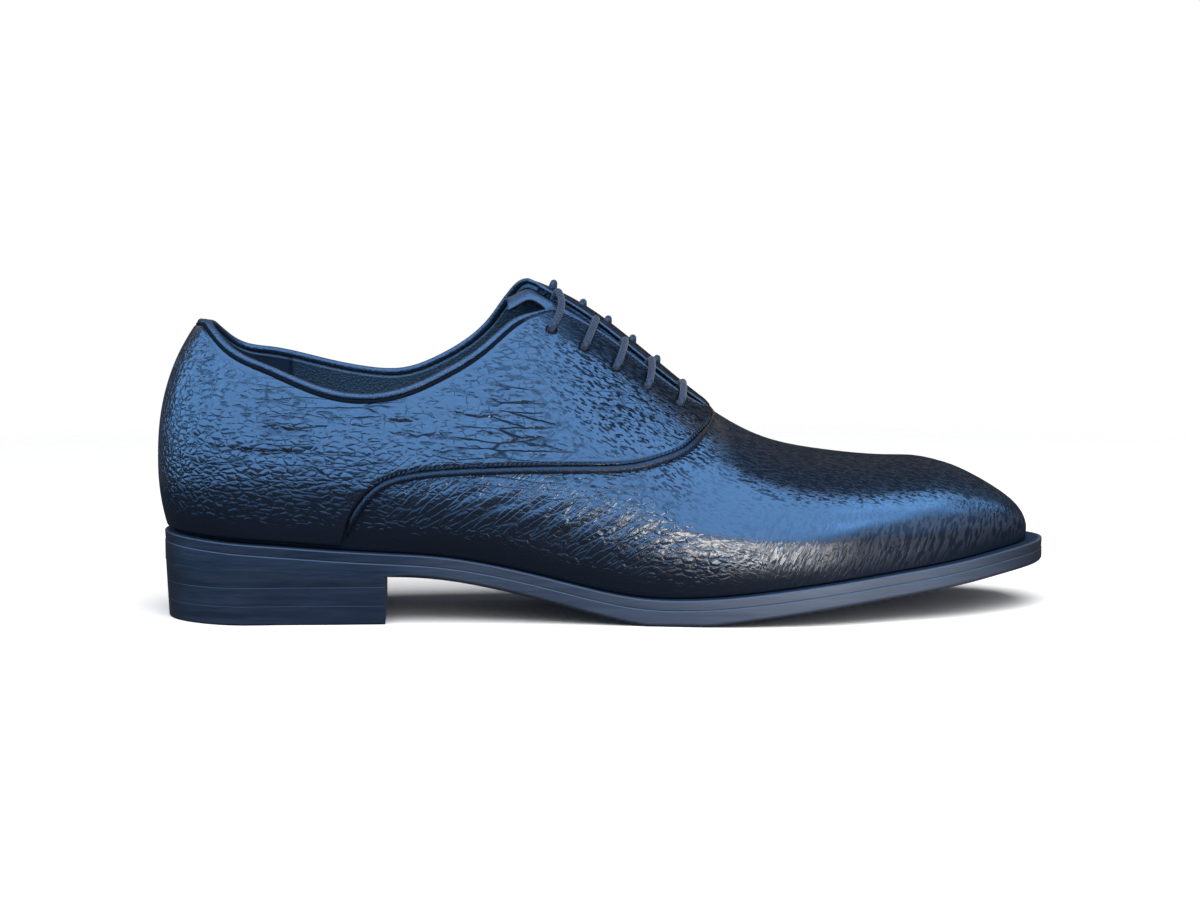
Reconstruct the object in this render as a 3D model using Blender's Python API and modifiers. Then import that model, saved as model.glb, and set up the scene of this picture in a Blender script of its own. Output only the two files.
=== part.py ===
# Plain lace-up oxford, right foot: toe along +X, outer (lateral) side along -Y, standing on the floor.
# Every piece is worked out from one last, whose sections are the rows of the table LAST.
# Tables and sizes are in millimetres from the heel's back edge and the floor.
import math
from functools import lru_cache

import bmesh
import bpy
import numpy as np
from mathutils import Vector

MM = 0.001
HEEL_TO_ORIGIN = 153.57
CENTRELINE_TO_ORIGIN = -0.93

# Clearances and walls
GAP = 0.35
LAP_GAP = 0.4
WALL = 1.6
PANEL = 1.3
INSOLE_THICK = 2.4
TONGUE_THICK = 1.8
MIDSOLE_THICK = 3.2
LACE_RADIUS = 1.25
SEAM_BEAD_RADIUS = 1.15
COLLAR_BEAD_RADIUS = 1.5
BEAD_SHORT = 1.5

# Heel
BREAST_X = 77.0
LOWER_LINE_Z = 6.4
UPPER_LINE_Z = 12.7
HEEL_INSET = 0.6

# Sole
EDGE_ROUND = 1.2
INSOLE_INSET = 2.6
SOLE_STEPS = 56
HEEL_STEPS = 20

# Upper
SEAM_FOOT_X = 61.7
THROAT_END_X = 188.6
CORNER_X = 125.5
PANEL_END_X = 185.6
LOW_SHARE = 0.3
LOWER_ROWS = 4
PANEL_ROWS = 6
EVEN_X = 250.0
CROWN_ROWS = 2
CROWN_NEAR = 0.001
WALK_SAMPLES = 60
ACROSS_SAMPLES = 240
TURN_WEIGHT = 14.0
HALVINGS = 40
TINY = 1e-9
NUDGE = 0.002
MERGE = 0.01
SLIVER = 0.001
PANEL_FOOT = 1.4
BACK_SEAM_SHARE = 0.0008

# Sections of the upper: x of a stop, and the number of sections up to it
SECTION_STOPS = (
    (SEAM_FOOT_X, 10),
    (73, 5),
    (118, 5),
    (CORNER_X, 3),
    (134, 3),
    (174, 5),
    (PANEL_END_X, 5),
    (THROAT_END_X, 1),
    (250, 6),
)
TOE_SECTIONS = 10

# Tongue
TONGUE_TOP_X = 124.5
TONGUE_ROOT_X = 199.0
TONGUE_OUTER_HALF = 15.0
TONGUE_INNER_HALF = 11.0
TONGUE_CLEAR = 1.6
TONGUE_STEPS = 12
TONGUE_ROWS = 8

# Eyelets and lace: shares of a bar from eyelet to eyelet, and its lift off the facing there
EYELET_RADIUS = 2.0
EYELET_DEPTH = 10.0
EYELET_SIDES = 10
BAR_LEAN = 2.0
BAR_BOW = 1.8
BAR_PROFILE = (
    (0.00, -1.1),
    (0.06, -0.2),
    (0.13, 0.1),
    (0.24, 0.1),
    (0.38, 0.1),
    (0.50, 0.1),
    (0.62, 0.1),
    (0.76, 0.1),
    (0.87, 0.1),
    (0.94, -0.2),
    (1.00, -1.1),
)

# Last: a row is one half-section on each side of the spine point (x, y). The section plane is turned from
# the toe's direction. Reaches run from the spine, round_up and round_over shape the arch to the crown,
# and fall is the spine's slope down to the toe.
LAST_COLUMNS = (
    "x", "y", "turn", "feather_out", "feather_in", "girth_out", "girth_in",
    "girth_z", "crown_z", "round_up", "round_over", "fall", "welt",
)
LAST = (
    (34, 0.0, 180, 30.1, 30.1, 33.4, 33.4, 51.0, 118.0, 2.40, 1.00, 0.00, 3.0),
    (34, 0.0, 150, 29.6, 29.6, 32.9, 32.9, 51.0, 116.6, 2.38, 1.00, 0.00, 3.3),
    (34, 0.0, 120, 28.6, 28.6, 31.8, 31.7, 50.5, 114.0, 2.35, 1.00, 0.00, 3.7),
    (34, 0.0, 90, 28.0, 28.0, 31.2, 31.0, 50.0, 112.0, 2.30, 1.00, 0.00, 4.0),
    (60, 1.0, 90, 30.0, 26.2, 33.3, 29.8, 48.0, 113.0, 2.10, 1.00, 0.00, 3.9),
    (90, 3.0, 90, 33.8, 20.4, 38.2, 29.8, 46.0, 119.0, 1.80, 1.05, 0.00, 3.0),
    (120, 6.0, 90, 39.6, 15.5, 44.6, 29.5, 43.0, 114.8, 1.50, 1.55, 0.00, 3.0),
    (150, 7.0, 90, 45.0, 16.8, 49.4, 30.0, 38.0, 100.5, 1.50, 1.62, 0.00, 3.6),
    (180, 6.5, 90, 50.1, 27.0, 52.9, 34.5, 31.0, 76.3, 1.55, 1.65, 0.00, 4.3),
    (205, 5.5, 90, 51.6, 36.5, 53.4, 39.4, 28.0, 60.3, 1.70, 1.80, 0.00, 4.6),
    (228, 5.0, 90, 48.8, 39.0, 49.8, 40.4, 27.5, 54.6, 1.85, 1.95, 0.00, 4.7),
    (250, 4.5, 90, 41.9, 36.4, 42.5, 37.2, 28.0, 52.3, 1.92, 2.00, 0.02, 4.8),
    (262, 4.5, 78, 35.9, 33.0, 36.4, 33.5, 28.4, 52.0, 1.90, 2.00, 0.12, 4.9),
    (271, 4.5, 62, 29.6, 28.2, 30.0, 28.6, 28.2, 50.2, 1.80, 2.00, 0.28, 5.0),
    (278, 4.5, 44, 24.8, 24.0, 25.1, 24.3, 27.6, 47.8, 1.72, 2.00, 0.42, 5.2),
    (282.6, 4.5, 24, 20.2, 19.8, 20.4, 20.0, 26.9, 45.3, 1.66, 2.00, 0.52, 5.6),
    (285.4, 4.5, 0, 16.8, 16.8, 17.0, 17.0, 26.2, 43.9, 1.60, 2.00, 0.58, 6.0),
)

# Sole seen from the side: x, underside of the outsole, top of the midsole
SOLE = (
    (0, 19.4, 29.6),
    (35, 18.0, 26.6),
    (77, 16.0, 23.6),
    (91, 15.2, 22.7),
    (107, 12.8, 20.5),
    (127, 8.2, 16.2),
    (146, 3.3, 11.6),
    (160, 0.3, 9.2),
    (172, -0.5, 8.7),
    (184, 0.3, 9.2),
    (200, 2.4, 10.8),
    (220, 5.1, 13.2),
    (252, 8.9, 16.7),
    (276, 11.9, 19.7),
    (296, 14.5, 22.3),
    (310, 15.8, 23.6),
)

# Topline from the back to the facing's corner: x, outer height, inner height
COLLAR = (
    (17, 98.8, 98.8),
    (22, 92.4, 94.0),
    (36, 83.8, 88.4),
    (55, 76.0, 83.4),
    (70, 73.7, 80.4),
    (84, 76.0, 80.2),
    (98, 82.2, 85.6),
    (110, 89.6, 93.6),
    (116, 94.6, 100.2),
    (121, 98.6, 107.8),
    (127.5, 101.8, 113.2),
    (134, 103.2, 114.2),
)

# Throat: x, reach of its middle from the crown line, width
THROAT = (
    (125.5, 7.6, 15.2),
    (130, 9.0, 11.2),
    (140, 10.4, 7.4),
    (150, 11.6, 6.0),
    (165, 13.2, 5.6),
    (178, 13.1, 5.8),
    (185, 11.6, 3.8),
    (188.6, 10.2, 0.0),
)
VAMP_MIDDLE = ((188.6, 10.2), (205, 5.0), (220, 1.4), (235, 0.0), (290, 0.0))

# Lapped seam of quarter and vamp: x, height
SEAM = (
    (61.7, 27.0),
    (63.2, 32.5),
    (65.7, 38.0),
    (72, 45.6),
    (81, 49.8),
    (91, 51.4),
    (107, 52.3),
    (127, 52.8),
    (147, 52.8),
    (160, 53.6),
    (170, 56.0),
    (176, 58.2),
    (181.5, 62.0),
    (185.4, 65.0),
    (188.6, 67.8),
)
MEDIAL_SEAM_TURN_X = 180.0
SEAM_TURN_STEPS = 8

# Bars of the lace: x and inset of the eyelet on the outer facing, x of the one on the inner facing and
# its distance past the crown
BARS = (
    (132.2, 9.4, 131.4, 2.0),
    (143.1, 12.8, 141.8, -2.6),
    (153.6, 13.4, 150.9, -3.0),
    (164.1, 11.7, 159.7, -3.0),
    (175.3, 8.9, 168.0, -3.0),
)

# Colours: red, green, blue, roughness
NAVY_LEATHER = (0.012, 0.030, 0.085, 0.42)
LINING_BLUE = (0.020, 0.050, 0.110, 0.55)
EDGE_NAVY = (0.014, 0.024, 0.050, 0.38)
LACE_NAVY = (0.010, 0.022, 0.060, 0.60)
TREAD_BLACK = (0.010, 0.011, 0.014, 0.70)


def smooth_curve(knots, values, level_ends=False):
    """Cubic spline through the values. Its ends are level, or free of bend."""
    x = np.asarray(knots, float)
    y = np.asarray(values, float)
    step = np.diff(x)
    slope = np.diff(y) / step
    system = np.eye(len(x))
    pull = np.zeros(len(x))
    for k in range(1, len(x) - 1):
        system[k, k - 1 : k + 2] = step[k - 1], 2 * (step[k - 1] + step[k]), step[k]
        pull[k] = 6 * (slope[k] - slope[k - 1])
    if level_ends:
        system[0, :2] = 2 * step[0], step[0]
        system[-1, -2:] = step[-1], 2 * step[-1]
        pull[0] = 6 * slope[0]
        pull[-1] = -6 * slope[-1]
    bend = np.linalg.solve(system, pull)

    def value(at):
        at = min(max(at, x[0]), x[-1])
        k = min(max(int(np.searchsorted(x, at)) - 1, 0), len(step) - 1)
        a = (x[k + 1] - at) / step[k]
        b = 1 - a
        curve = (a**3 - a) * bend[k] + (b**3 - b) * bend[k + 1]
        return a * y[k] + b * y[k + 1] + curve * step[k] ** 2 / 6

    return value


def column_of(table, k):
    return [row[k] for row in table]


def spread(table, k):
    return smooth_curve(column_of(table, 0), column_of(table, k))


def station_places():
    """Each row's place along the outer feather line, from 0 at the heel's back to 1 at the toe."""
    points = []
    for x, y, turn, reach, *_ in LAST:
        angle = math.radians(turn)
        points.append((x + reach * math.cos(angle), y - reach * math.sin(angle)))
    lengths = [math.dist(a, b) for a, b in zip(points, points[1:])]
    total = sum(lengths)
    return [sum(lengths[:k]) / total for k in range(len(points))]


PLACES = station_places()
LAST_CURVES = {
    name: smooth_curve(PLACES, column_of(LAST, k), level_ends=name != "turn")
    for k, name in enumerate(LAST_COLUMNS)
}
outsole_under = spread(SOLE, 1)
sole_top = spread(SOLE, 2)
collar_out = spread(COLLAR, 1)
collar_in = spread(COLLAR, 2)
throat_middle = spread(THROAT, 1)
throat_width = spread(THROAT, 2)
vamp_middle = spread(VAMP_MIDDLE, 1)
seam_height = spread(SEAM, 1)


def sole_under(x):
    """Underside of the outsole, cut level with the floor at the ball."""
    return max(outsole_under(x), 0.0)


@lru_cache(maxsize=None)
def station(u):
    return {name: curve(u) for name, curve in LAST_CURVES.items()}


def reach_and_height(u, v):
    """Section at u: v runs from 0 at the outer feather over the crown at 1 to 2 at the inner feather."""
    row = station(u)
    side = "out" if v <= 1 else "in"
    rise = v if v <= 1 else 2 - v
    feather = row["feather_" + side]
    girth = row["girth_" + side]
    if rise < LOW_SHARE:
        w = rise / LOW_SHARE
        foot = sole_top(row["x"] + feather * math.cos(math.radians(row["turn"]))) + GAP
        return feather + (girth - feather) * (1 - (1 - w) ** 2), foot + (row["girth_z"] - foot) * w
    arch = (rise - LOW_SHARE) / (1 - LOW_SHARE) * math.pi / 2
    reach = girth * max(math.cos(arch), 0.0) ** (2 / row["round_over"])
    height = (row["crown_z"] - row["girth_z"]) * math.sin(arch) ** (2 / row["round_up"])
    fall = row["fall"] * math.cos(math.radians(row["turn"])) * reach * (1 - reach / girth)
    return reach, row["girth_z"] + height - fall


def plan_point(u, side, reach):
    """Point at a reach from the spine, on the outer side (-1) or the inner side (1)."""
    row = station(u)
    angle = math.radians(row["turn"])
    return row["x"] + reach * math.cos(angle), row["y"] + side * reach * math.sin(angle)


def last_point(u, v):
    reach, height = reach_and_height(u, v)
    x, y = plan_point(u, -1 if v <= 1 else 1, reach)
    return Vector((x, y, height))


def last_normal(u, v):
    """Outward normal, from points a little way along and across."""
    along = last_point(min(u + NUDGE, 1), v) - last_point(max(u - NUDGE, 0), v)
    across = last_point(u, min(v + NUDGE, 2)) - last_point(u, max(v - NUDGE, 0))
    return along.cross(across).normalized()


def crossing(test, low, high):
    """Value between low, where the test is false, and high, where it is true."""
    for _ in range(HALVINGS):
        middle = (low + high) / 2
        low, high = (low, middle) if test(middle) else (middle, high)
    return (low + high) / 2


def place_of_x(x):
    """u of the straight section at x."""
    return crossing(lambda u: station(u)["x"] > x, PLACES[3], 1.0)


def above_curve(u, curve, v):
    point = last_point(u, v)
    return point.z > curve(point.x)


def outer_at_reach(u, reach):
    return crossing(lambda v: reach_and_height(u, v)[0] < reach, LOW_SHARE, 1.0)


def throat_half(u, sign):
    x = station(u)["x"]
    return max(throat_middle(x) + sign * max(throat_width(x), 0.0) / 2, 0.0)


def outer_edge(u):
    """v where the outer quarter ends at the topline, then at its facing, then at the middle of the vamp."""
    x = station(u)["x"]
    if x >= THROAT_END_X:
        return outer_at_reach(u, vamp_middle(x))
    topline = 1.0
    if x < COLLAR[-1][0]:
        topline = crossing(lambda v: above_curve(u, collar_out, v), LOW_SHARE, 1.0)
    facing = outer_at_reach(u, throat_half(u, 1)) if x > THROAT[0][0] else 1.0
    return min(topline, facing)


def inner_edge(u):
    """v where the inner quarter ends. Its facing passes over the crown to the outer side."""
    x = station(u)["x"]
    if x >= THROAT_END_X:
        return outer_at_reach(u, vamp_middle(x))
    if x > CORNER_X - TINY:
        return outer_at_reach(u, throat_half(u, -1))
    return crossing(lambda v: not above_curve(u, collar_in, v), 1.0, 2 - LOW_SHARE)


def outer_seam(u):
    return crossing(lambda v: above_curve(u, seam_height, v), 0.0, 1.0)


def inner_seam(u):
    """The seam's inner half crosses the crown between its turn and the end of the throat."""
    turn = place_of_x(MEDIAL_SEAM_TURN_X)
    start = crossing(lambda v: not above_curve(min(u, turn), seam_height, v), 1.0, 2.0)
    if u <= turn:
        return start
    end = place_of_x(THROAT_END_X)
    return start + (outer_edge(end) - start) * (u - turn) / (end - turn)


def panel_start(u, foot, seam):
    """v of a panel's lower edge: just clear of the sole at the heel, then along the seam."""
    base = last_point(u, foot).z
    climb = crossing(lambda s: last_point(u, abs(foot - s)).z > base + PANEL_FOOT, 0, LOW_SHARE)
    if station(u)["x"] >= SEAM_FOOT_X:
        climb = max(climb, abs(foot - seam(u)))
    return abs(foot - climb)


def even_walk(u, v_start, v_end, rows):
    """Values of v along the section, closer together where it bends, with one on the crown if it passes."""
    if v_end + CROWN_NEAR < 1 < v_start:
        past = CROWN_ROWS
        return even_walk(u, v_start, 1.0, rows - past)[:-1] + even_walk(u, 1.0, v_end, past)
    fine = np.linspace(v_start, v_end, WALK_SAMPLES)
    steps = np.diff([last_point(u, v) for v in fine], axis=0)
    lengths = np.linalg.norm(steps, axis=1) + TINY
    turns = np.linalg.norm(np.diff(steps / lengths[:, None], axis=0), axis=1)
    walked = np.concatenate([[0], np.cumsum(lengths + TURN_WEIGHT * np.append(turns, 0))])
    return list(np.interp(np.linspace(0, walked[-1], rows + 1), walked, fine))


def upper_places():
    """Sections of the upper, closer together where the seam leaves the sole and where the throat ends."""
    places = [0.0]
    for x, count in SECTION_STOPS:
        start = places[-1]
        end = place_of_x(x)
        places += [start + (end - start) * k / count for k in range(1, count + 1)]
    return places + list(np.linspace(places[-1], 1.0, TOE_SECTIONS + 1)[1:])


UPPER_PLACES = upper_places()


def to_frame(point):
    return Vector((point[0] - HEEL_TO_ORIGIN, point[1] - CENTRELINE_TO_ORIGIN, point[2])) * MM


def paint(name, colour):
    material = bpy.data.materials.new(name)
    material.use_nodes = True
    shader = material.node_tree.nodes["Principled BSDF"]
    shader.inputs["Base Color"].default_value = (*colour[:3], 1)
    shader.inputs["Roughness"].default_value = colour[3]
    shader.inputs["Metallic"].default_value = 0.0
    return material


def add_object(name, data, material, collection):
    obj = bpy.data.objects.new(name, data)
    data.materials.append(material)
    collection.objects.link(obj)
    return obj


def add_grids(name, grids, material, collection):
    """Mesh of grids of points, each a list of columns, joined where their points meet."""
    bm = bmesh.new()
    for columns in grids:
        rows = [[bm.verts.new(to_frame(point)) for point in column] for column in columns]
        for a, b in zip(rows, rows[1:]):
            for k in range(len(a) - 1):
                bm.faces.new((a[k], b[k], b[k + 1]))
                bm.faces.new((a[k], b[k + 1], a[k + 1]))
    bmesh.ops.remove_doubles(bm, verts=bm.verts, dist=MERGE * MM)
    bmesh.ops.dissolve_degenerate(bm, edges=bm.edges, dist=SLIVER * MM)
    mesh = bpy.data.meshes.new(name)
    bm.to_mesh(mesh)
    bm.free()
    mesh.shade_smooth()
    return add_object(name, mesh, material, collection)


def thicken(obj, thickness, offset):
    solid = obj.modifiers.new("Wall", "SOLIDIFY")
    solid.thickness = thickness * MM
    solid.offset = offset
    solid.use_even_offset = True
    solid.use_quality_normals = True


def add_tube(name, points, radius, material, collection):
    curve = bpy.data.curves.new(name, "CURVE")
    curve.dimensions = "3D"
    curve.bevel_depth = radius * MM
    curve.bevel_resolution = 1
    curve.use_fill_caps = True
    spline = curve.splines.new("POLY")
    spline.points.add(len(points) - 1)
    for target, point in zip(spline.points, points):
        target.co = (*to_frame(point), 1)
    return add_object(name, curve, material, collection)


def add_plate(name, places, inset, top, under, material, collection, edge_round=0.0):
    """Plate under the last: its outline follows the welt line, its faces follow heights along the shoe."""
    columns = []
    for u in places:
        row = station(u)
        section = []
        for side, key in ((-1, "feather_out"), (1, "feather_in")):
            reach = row[key] + row["welt"] - inset(row)
            x, y = plan_point(u, side, reach)
            x_in, y_in = plan_point(u, side, reach - edge_round)
            half = [(x, y, top(x)), (x, y, under(x) + edge_round), (x_in, y_in, under(x_in))]
            section.append(half if edge_round else half[:2])
        outer, inner = section
        ring = outer + inner[::-1]
        columns.append([*ring, ring[0]])
    plate = add_grids(name, [columns], material, collection)
    close_ends(plate.data)
    return plate


def close_ends(mesh):
    """Fills the open end of a plate that stops short of the toe, and turns all faces outwards."""
    bm = bmesh.new()
    bm.from_mesh(mesh)
    rim = [edge for edge in bm.edges if edge.is_boundary]
    if rim:
        bmesh.ops.holes_fill(bm, edges=rim, sides=0)
    bmesh.ops.recalc_face_normals(bm, faces=bm.faces)
    bm.to_mesh(mesh)
    bm.free()


def add_sole(navy_edge, tread, lining, collection):
    whole = [k / SOLE_STEPS for k in range(SOLE_STEPS + 1)]
    breast = place_of_x(BREAST_X)
    heel = [breast * k / HEEL_STEPS for k in range(HEEL_STEPS + 1)]

    def midsole_under(x):
        return sole_top(x) - MIDSOLE_THICK

    def flush(row):
        return 0.0

    def heel_line(row):
        return HEEL_INSET

    def footbed(row):
        return row["welt"] + INSOLE_INSET

    add_plate("midsole", whole, flush, sole_top, midsole_under, navy_edge, collection)
    add_plate("outsole", whole, flush, lambda x: midsole_under(x) - GAP, sole_under, navy_edge,
              collection, EDGE_ROUND)
    add_plate("heel_lift_upper", heel, heel_line, lambda x: sole_under(x) - GAP,
              lambda x: UPPER_LINE_Z, navy_edge, collection)
    add_plate("heel_lift_lower", heel, heel_line, lambda x: UPPER_LINE_Z - GAP,
              lambda x: LOWER_LINE_Z, navy_edge, collection)
    add_plate("heel_top_piece", heel, heel_line, lambda x: LOWER_LINE_Z - GAP,
              lambda x: 0.0, tread, collection)
    add_plate("insole", whole, footbed, lambda x: sole_top(x) + GAP + INSOLE_THICK,
              lambda x: sole_top(x) + GAP, lining, collection)


def row_line(u, foot, edge, seam):
    """v of the wall's row under the panel's lower edge. Past the throat it sinks to an even share."""
    x = station(u)["x"]
    if x <= PANEL_END_X:
        return panel_start(u, foot, seam)
    end = place_of_x(PANEL_END_X)
    start_share = (edge(end) - panel_start(end, foot, seam)) / (edge(end) - foot)
    even_share = PANEL_ROWS / (PANEL_ROWS + LOWER_ROWS)
    along = min((x - PANEL_END_X) / (EVEN_X - PANEL_END_X), 1.0)
    return edge(u) - (start_share + (even_share - start_share) * along) * (edge(u) - foot)


def wall_column(u, foot, edge, seam):
    """Points up one side of the wall: a single step to the panel at the heel, and rows below it elsewhere."""
    line = row_line(u, foot, edge, seam)
    lower = even_walk(u, foot, line, LOWER_ROWS)
    if station(u)["x"] < SEAM_FOOT_X:
        lower = [foot] + [line] * LOWER_ROWS
    return [last_point(u, v) for v in lower[:-1] + even_walk(u, line, edge(u), PANEL_ROWS)]


def add_upper(leather, collection):
    outer = [wall_column(u, 0.0, outer_edge, outer_seam) for u in UPPER_PLACES]
    inner = [wall_column(u, 2.0, inner_edge, inner_seam) for u in UPPER_PLACES]
    upper = add_grids("upper", [outer, inner[::-1]], leather, collection)
    thicken(upper, WALL, -1)
    return upper


def add_quarter(name, foot, edge, seam, leather, collection):
    """Panel lapped over the vamp on the wall's own rows, from the back seam to the end of the throat."""
    columns = []
    for u in UPPER_PLACES:
        if u > place_of_x(PANEL_END_X) + TINY:
            break
        u = max(u, BACK_SEAM_SHARE)
        walk = even_walk(u, row_line(u, foot, edge, seam), edge(u), PANEL_ROWS)
        columns.append([last_point(u, v) + last_normal(u, v) * LAP_GAP for v in walk])
    panel = add_grids(name, [columns if foot == 0 else columns[::-1]], leather, collection)
    thicken(panel, PANEL, 1)
    return panel


def beside(route, lift, clear):
    """Points lifted off the last along a route of (u, v), and moved to the route's right-hand side."""
    surface = [last_point(u, v) for u, v in route]
    points = []
    for k, (u, v) in enumerate(route):
        ahead = surface[min(k + 1, len(surface) - 1)] - surface[max(k - 1, 0)]
        normal = last_normal(u, v)
        points.append(surface[k] + normal * lift - normal.cross(ahead).normalized() * clear)
    return points


def add_seam_bead(leather, collection):
    """Bead that lies on the vamp along the edge of both quarters and round the end of the throat."""
    start_x = SEAM_FOOT_X + BEAD_SHORT
    places = [u for u in UPPER_PLACES if start_x < station(u)["x"] < MEDIAL_SEAM_TURN_X]
    front = place_of_x(THROAT_END_X)
    places += [places[-1] + (front - places[-1]) * k / SEAM_TURN_STEPS for k in range(1, SEAM_TURN_STEPS)]
    route = [(u, outer_seam(u)) for u in places]
    route += [(front, outer_edge(front))]
    route += [(u, inner_seam(u)) for u in reversed(places)]
    points = beside(route, SEAM_BEAD_RADIUS + GAP, SEAM_BEAD_RADIUS + 2 * GAP)
    return add_tube("seam_bead", points, SEAM_BEAD_RADIUS, leather, collection)


def add_collar_bead(leather, collection):
    """Bead that sits on the edge of wall and quarters, from one facing round the heel to the other."""
    places = [u for u in UPPER_PLACES if station(u)["x"] < CORNER_X - BEAD_SHORT]
    route = [(u, outer_edge(u)) for u in reversed(places)]
    route += [(u, inner_edge(u)) for u in places[1:]]
    middle = (PANEL + LAP_GAP - WALL) / 2
    points = beside(route, middle, COLLAR_BEAD_RADIUS + GAP)
    return add_tube("collar_bead", points, COLLAR_BEAD_RADIUS, leather, collection)


def walk_across(u, v_start, lengths):
    """Values of v at signed lengths along the section from v_start, towards the inner side."""
    fine = np.linspace(LOW_SHARE, 2 - LOW_SHARE, ACROSS_SAMPLES)
    points = [last_point(u, v) for v in fine]
    walked = np.concatenate([[0], np.cumsum([(b - a).length for a, b in zip(points, points[1:])])])
    start = np.interp(v_start, fine, walked)
    return [float(np.interp(start + length, walked, fine)) for length in lengths]


def add_tongue(leather, collection):
    """Leaf under the facings, from its free top edge to its root under the vamp."""
    sink = WALL + TONGUE_CLEAR
    across = np.linspace(-TONGUE_OUTER_HALF, TONGUE_INNER_HALF, TONGUE_ROWS + 1)
    columns = []
    for k in range(TONGUE_STEPS + 1):
        x = TONGUE_TOP_X + (TONGUE_ROOT_X - TONGUE_TOP_X) * k / TONGUE_STEPS
        u = place_of_x(x)
        reach = throat_middle(x) if x < THROAT_END_X else vamp_middle(x)
        walk = walk_across(u, outer_at_reach(u, reach), across)
        columns.append([last_point(u, v) - last_normal(u, v) * sink for v in walk])
    tongue = add_grids("tongue", [columns], leather, collection)
    thicken(tongue, TONGUE_THICK, -1)
    return tongue


def eyelet_places():
    """(x, v) of each bar's eyelet on the outer facing, and on the inner facing by the crown."""
    pairs = []
    for x_out, inset, x_in, past_crown in BARS:
        u_out = place_of_x(x_out)
        (v_out,) = walk_across(u_out, outer_edge(u_out), [-inset])
        (v_in,) = walk_across(place_of_x(x_in), 1.0, [past_crown])
        pairs.append(((x_out, v_out), (x_in, v_in)))
    return pairs


def add_lace(pairs, cord, collection):
    """Bars over both facings, bowed to the toe and leaning to the heel. The ends dip into the eyelets."""
    rest = LAP_GAP + PANEL + LACE_RADIUS + GAP
    for k, ((x_out, v_out), (x_in, v_in)) in enumerate(pairs, 1):
        points = []
        for share, lift in BAR_PROFILE:
            bow = BAR_BOW * 4 * share * (1 - share)
            u = place_of_x(x_out + (x_in - x_out) * share**BAR_LEAN + bow)
            v = v_out + (v_in - v_out) * share
            points.append(last_point(u, v) + last_normal(u, v) * (rest + lift))
        add_tube(f"lace_bar_{k}", points, LACE_RADIUS, cord, collection)


def cut_eyelets(name, places, targets, cutters):
    """Round holes through wall and quarter, square to the last."""
    bm = bmesh.new()
    for x, v in places:
        u = place_of_x(x)
        turn = last_normal(u, v).to_track_quat("Z", "Y").to_matrix().to_4x4()
        turn.translation = to_frame(last_point(u, v))
        bmesh.ops.create_cone(bm, cap_ends=True, segments=EYELET_SIDES, radius1=EYELET_RADIUS * MM,
                              radius2=EYELET_RADIUS * MM, depth=EYELET_DEPTH * MM, matrix=turn)
    mesh = bpy.data.meshes.new(name)
    bm.to_mesh(mesh)
    bm.free()
    cutter = bpy.data.objects.new(name, mesh)
    cutters.objects.link(cutter)
    cutter.hide_render = True
    cutter.display_type = "WIRE"
    for target in targets:
        cut = target.modifiers.new(name, "BOOLEAN")
        cut.operation = "DIFFERENCE"
        cut.object = cutter


def main():
    for obj in list(bpy.data.objects):
        bpy.data.objects.remove(obj, do_unlink=True)
    shoe = bpy.data.collections.new("oxford_shoe")
    cutters = bpy.data.collections.new("cutters")
    bpy.context.scene.collection.children.link(shoe)
    bpy.context.scene.collection.children.link(cutters)
    leather = paint("navy_leather", NAVY_LEATHER)
    lining = paint("lining_leather", LINING_BLUE)
    edge = paint("sole_edge", EDGE_NAVY)
    tread = paint("tread_rubber", TREAD_BLACK)
    cord = paint("lace_cord", LACE_NAVY)

    add_sole(edge, tread, lining, shoe)
    upper = add_upper(leather, shoe)
    outer_quarter = add_quarter("quarter_lateral", 0.0, outer_edge, outer_seam, leather, shoe)
    inner_quarter = add_quarter("quarter_medial", 2.0, inner_edge, inner_seam, leather, shoe)
    add_seam_bead(leather, shoe)
    add_collar_bead(leather, shoe)
    add_tongue(lining, shoe)
    pairs = eyelet_places()
    add_lace(pairs, cord, shoe)
    cut_eyelets("outer_eyelets", [outer for outer, _ in pairs], (upper, outer_quarter), cutters)
    cut_eyelets("inner_eyelets", [inner for _, inner in pairs], (upper, inner_quarter), cutters)


main()
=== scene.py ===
import math

import bmesh
import bpy
import numpy as np
from mathutils import Matrix, Vector


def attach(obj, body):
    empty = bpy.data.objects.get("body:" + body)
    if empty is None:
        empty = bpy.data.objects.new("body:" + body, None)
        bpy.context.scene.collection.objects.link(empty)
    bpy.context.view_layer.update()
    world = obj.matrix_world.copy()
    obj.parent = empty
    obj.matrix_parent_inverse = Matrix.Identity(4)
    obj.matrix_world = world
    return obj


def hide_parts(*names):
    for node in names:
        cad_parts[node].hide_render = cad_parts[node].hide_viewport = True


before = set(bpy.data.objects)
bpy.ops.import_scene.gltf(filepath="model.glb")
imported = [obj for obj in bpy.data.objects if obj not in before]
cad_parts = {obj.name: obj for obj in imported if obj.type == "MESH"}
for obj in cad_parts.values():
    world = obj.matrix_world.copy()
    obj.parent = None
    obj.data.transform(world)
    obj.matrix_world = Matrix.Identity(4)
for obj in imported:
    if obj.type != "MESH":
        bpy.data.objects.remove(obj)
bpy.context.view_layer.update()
scene = bpy.context.scene
print("frame loaded,", len(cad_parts), "solids")

# camera of the photo: metres, lens on a 36 mm sensor
photoView = {"place": (-0.06939, -0.75695, 0.120), "along": (0.0868, 0.9925, -0.0854), "lens": 65.85}


def addCamera(values):
    lens = bpy.data.cameras.new("photoView")
    lens.lens = values["lens"]
    lens.sensor_width = 36.0
    lens.clip_start = 0.01
    camera = bpy.data.objects.new("photoView", lens)
    camera.location = values["place"]
    camera.rotation_euler = Vector(values["along"]).to_track_quat("-Z", "Y").to_euler()
    scene.collection.objects.link(camera)
    scene.camera = camera


addCamera(photoView)

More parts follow.
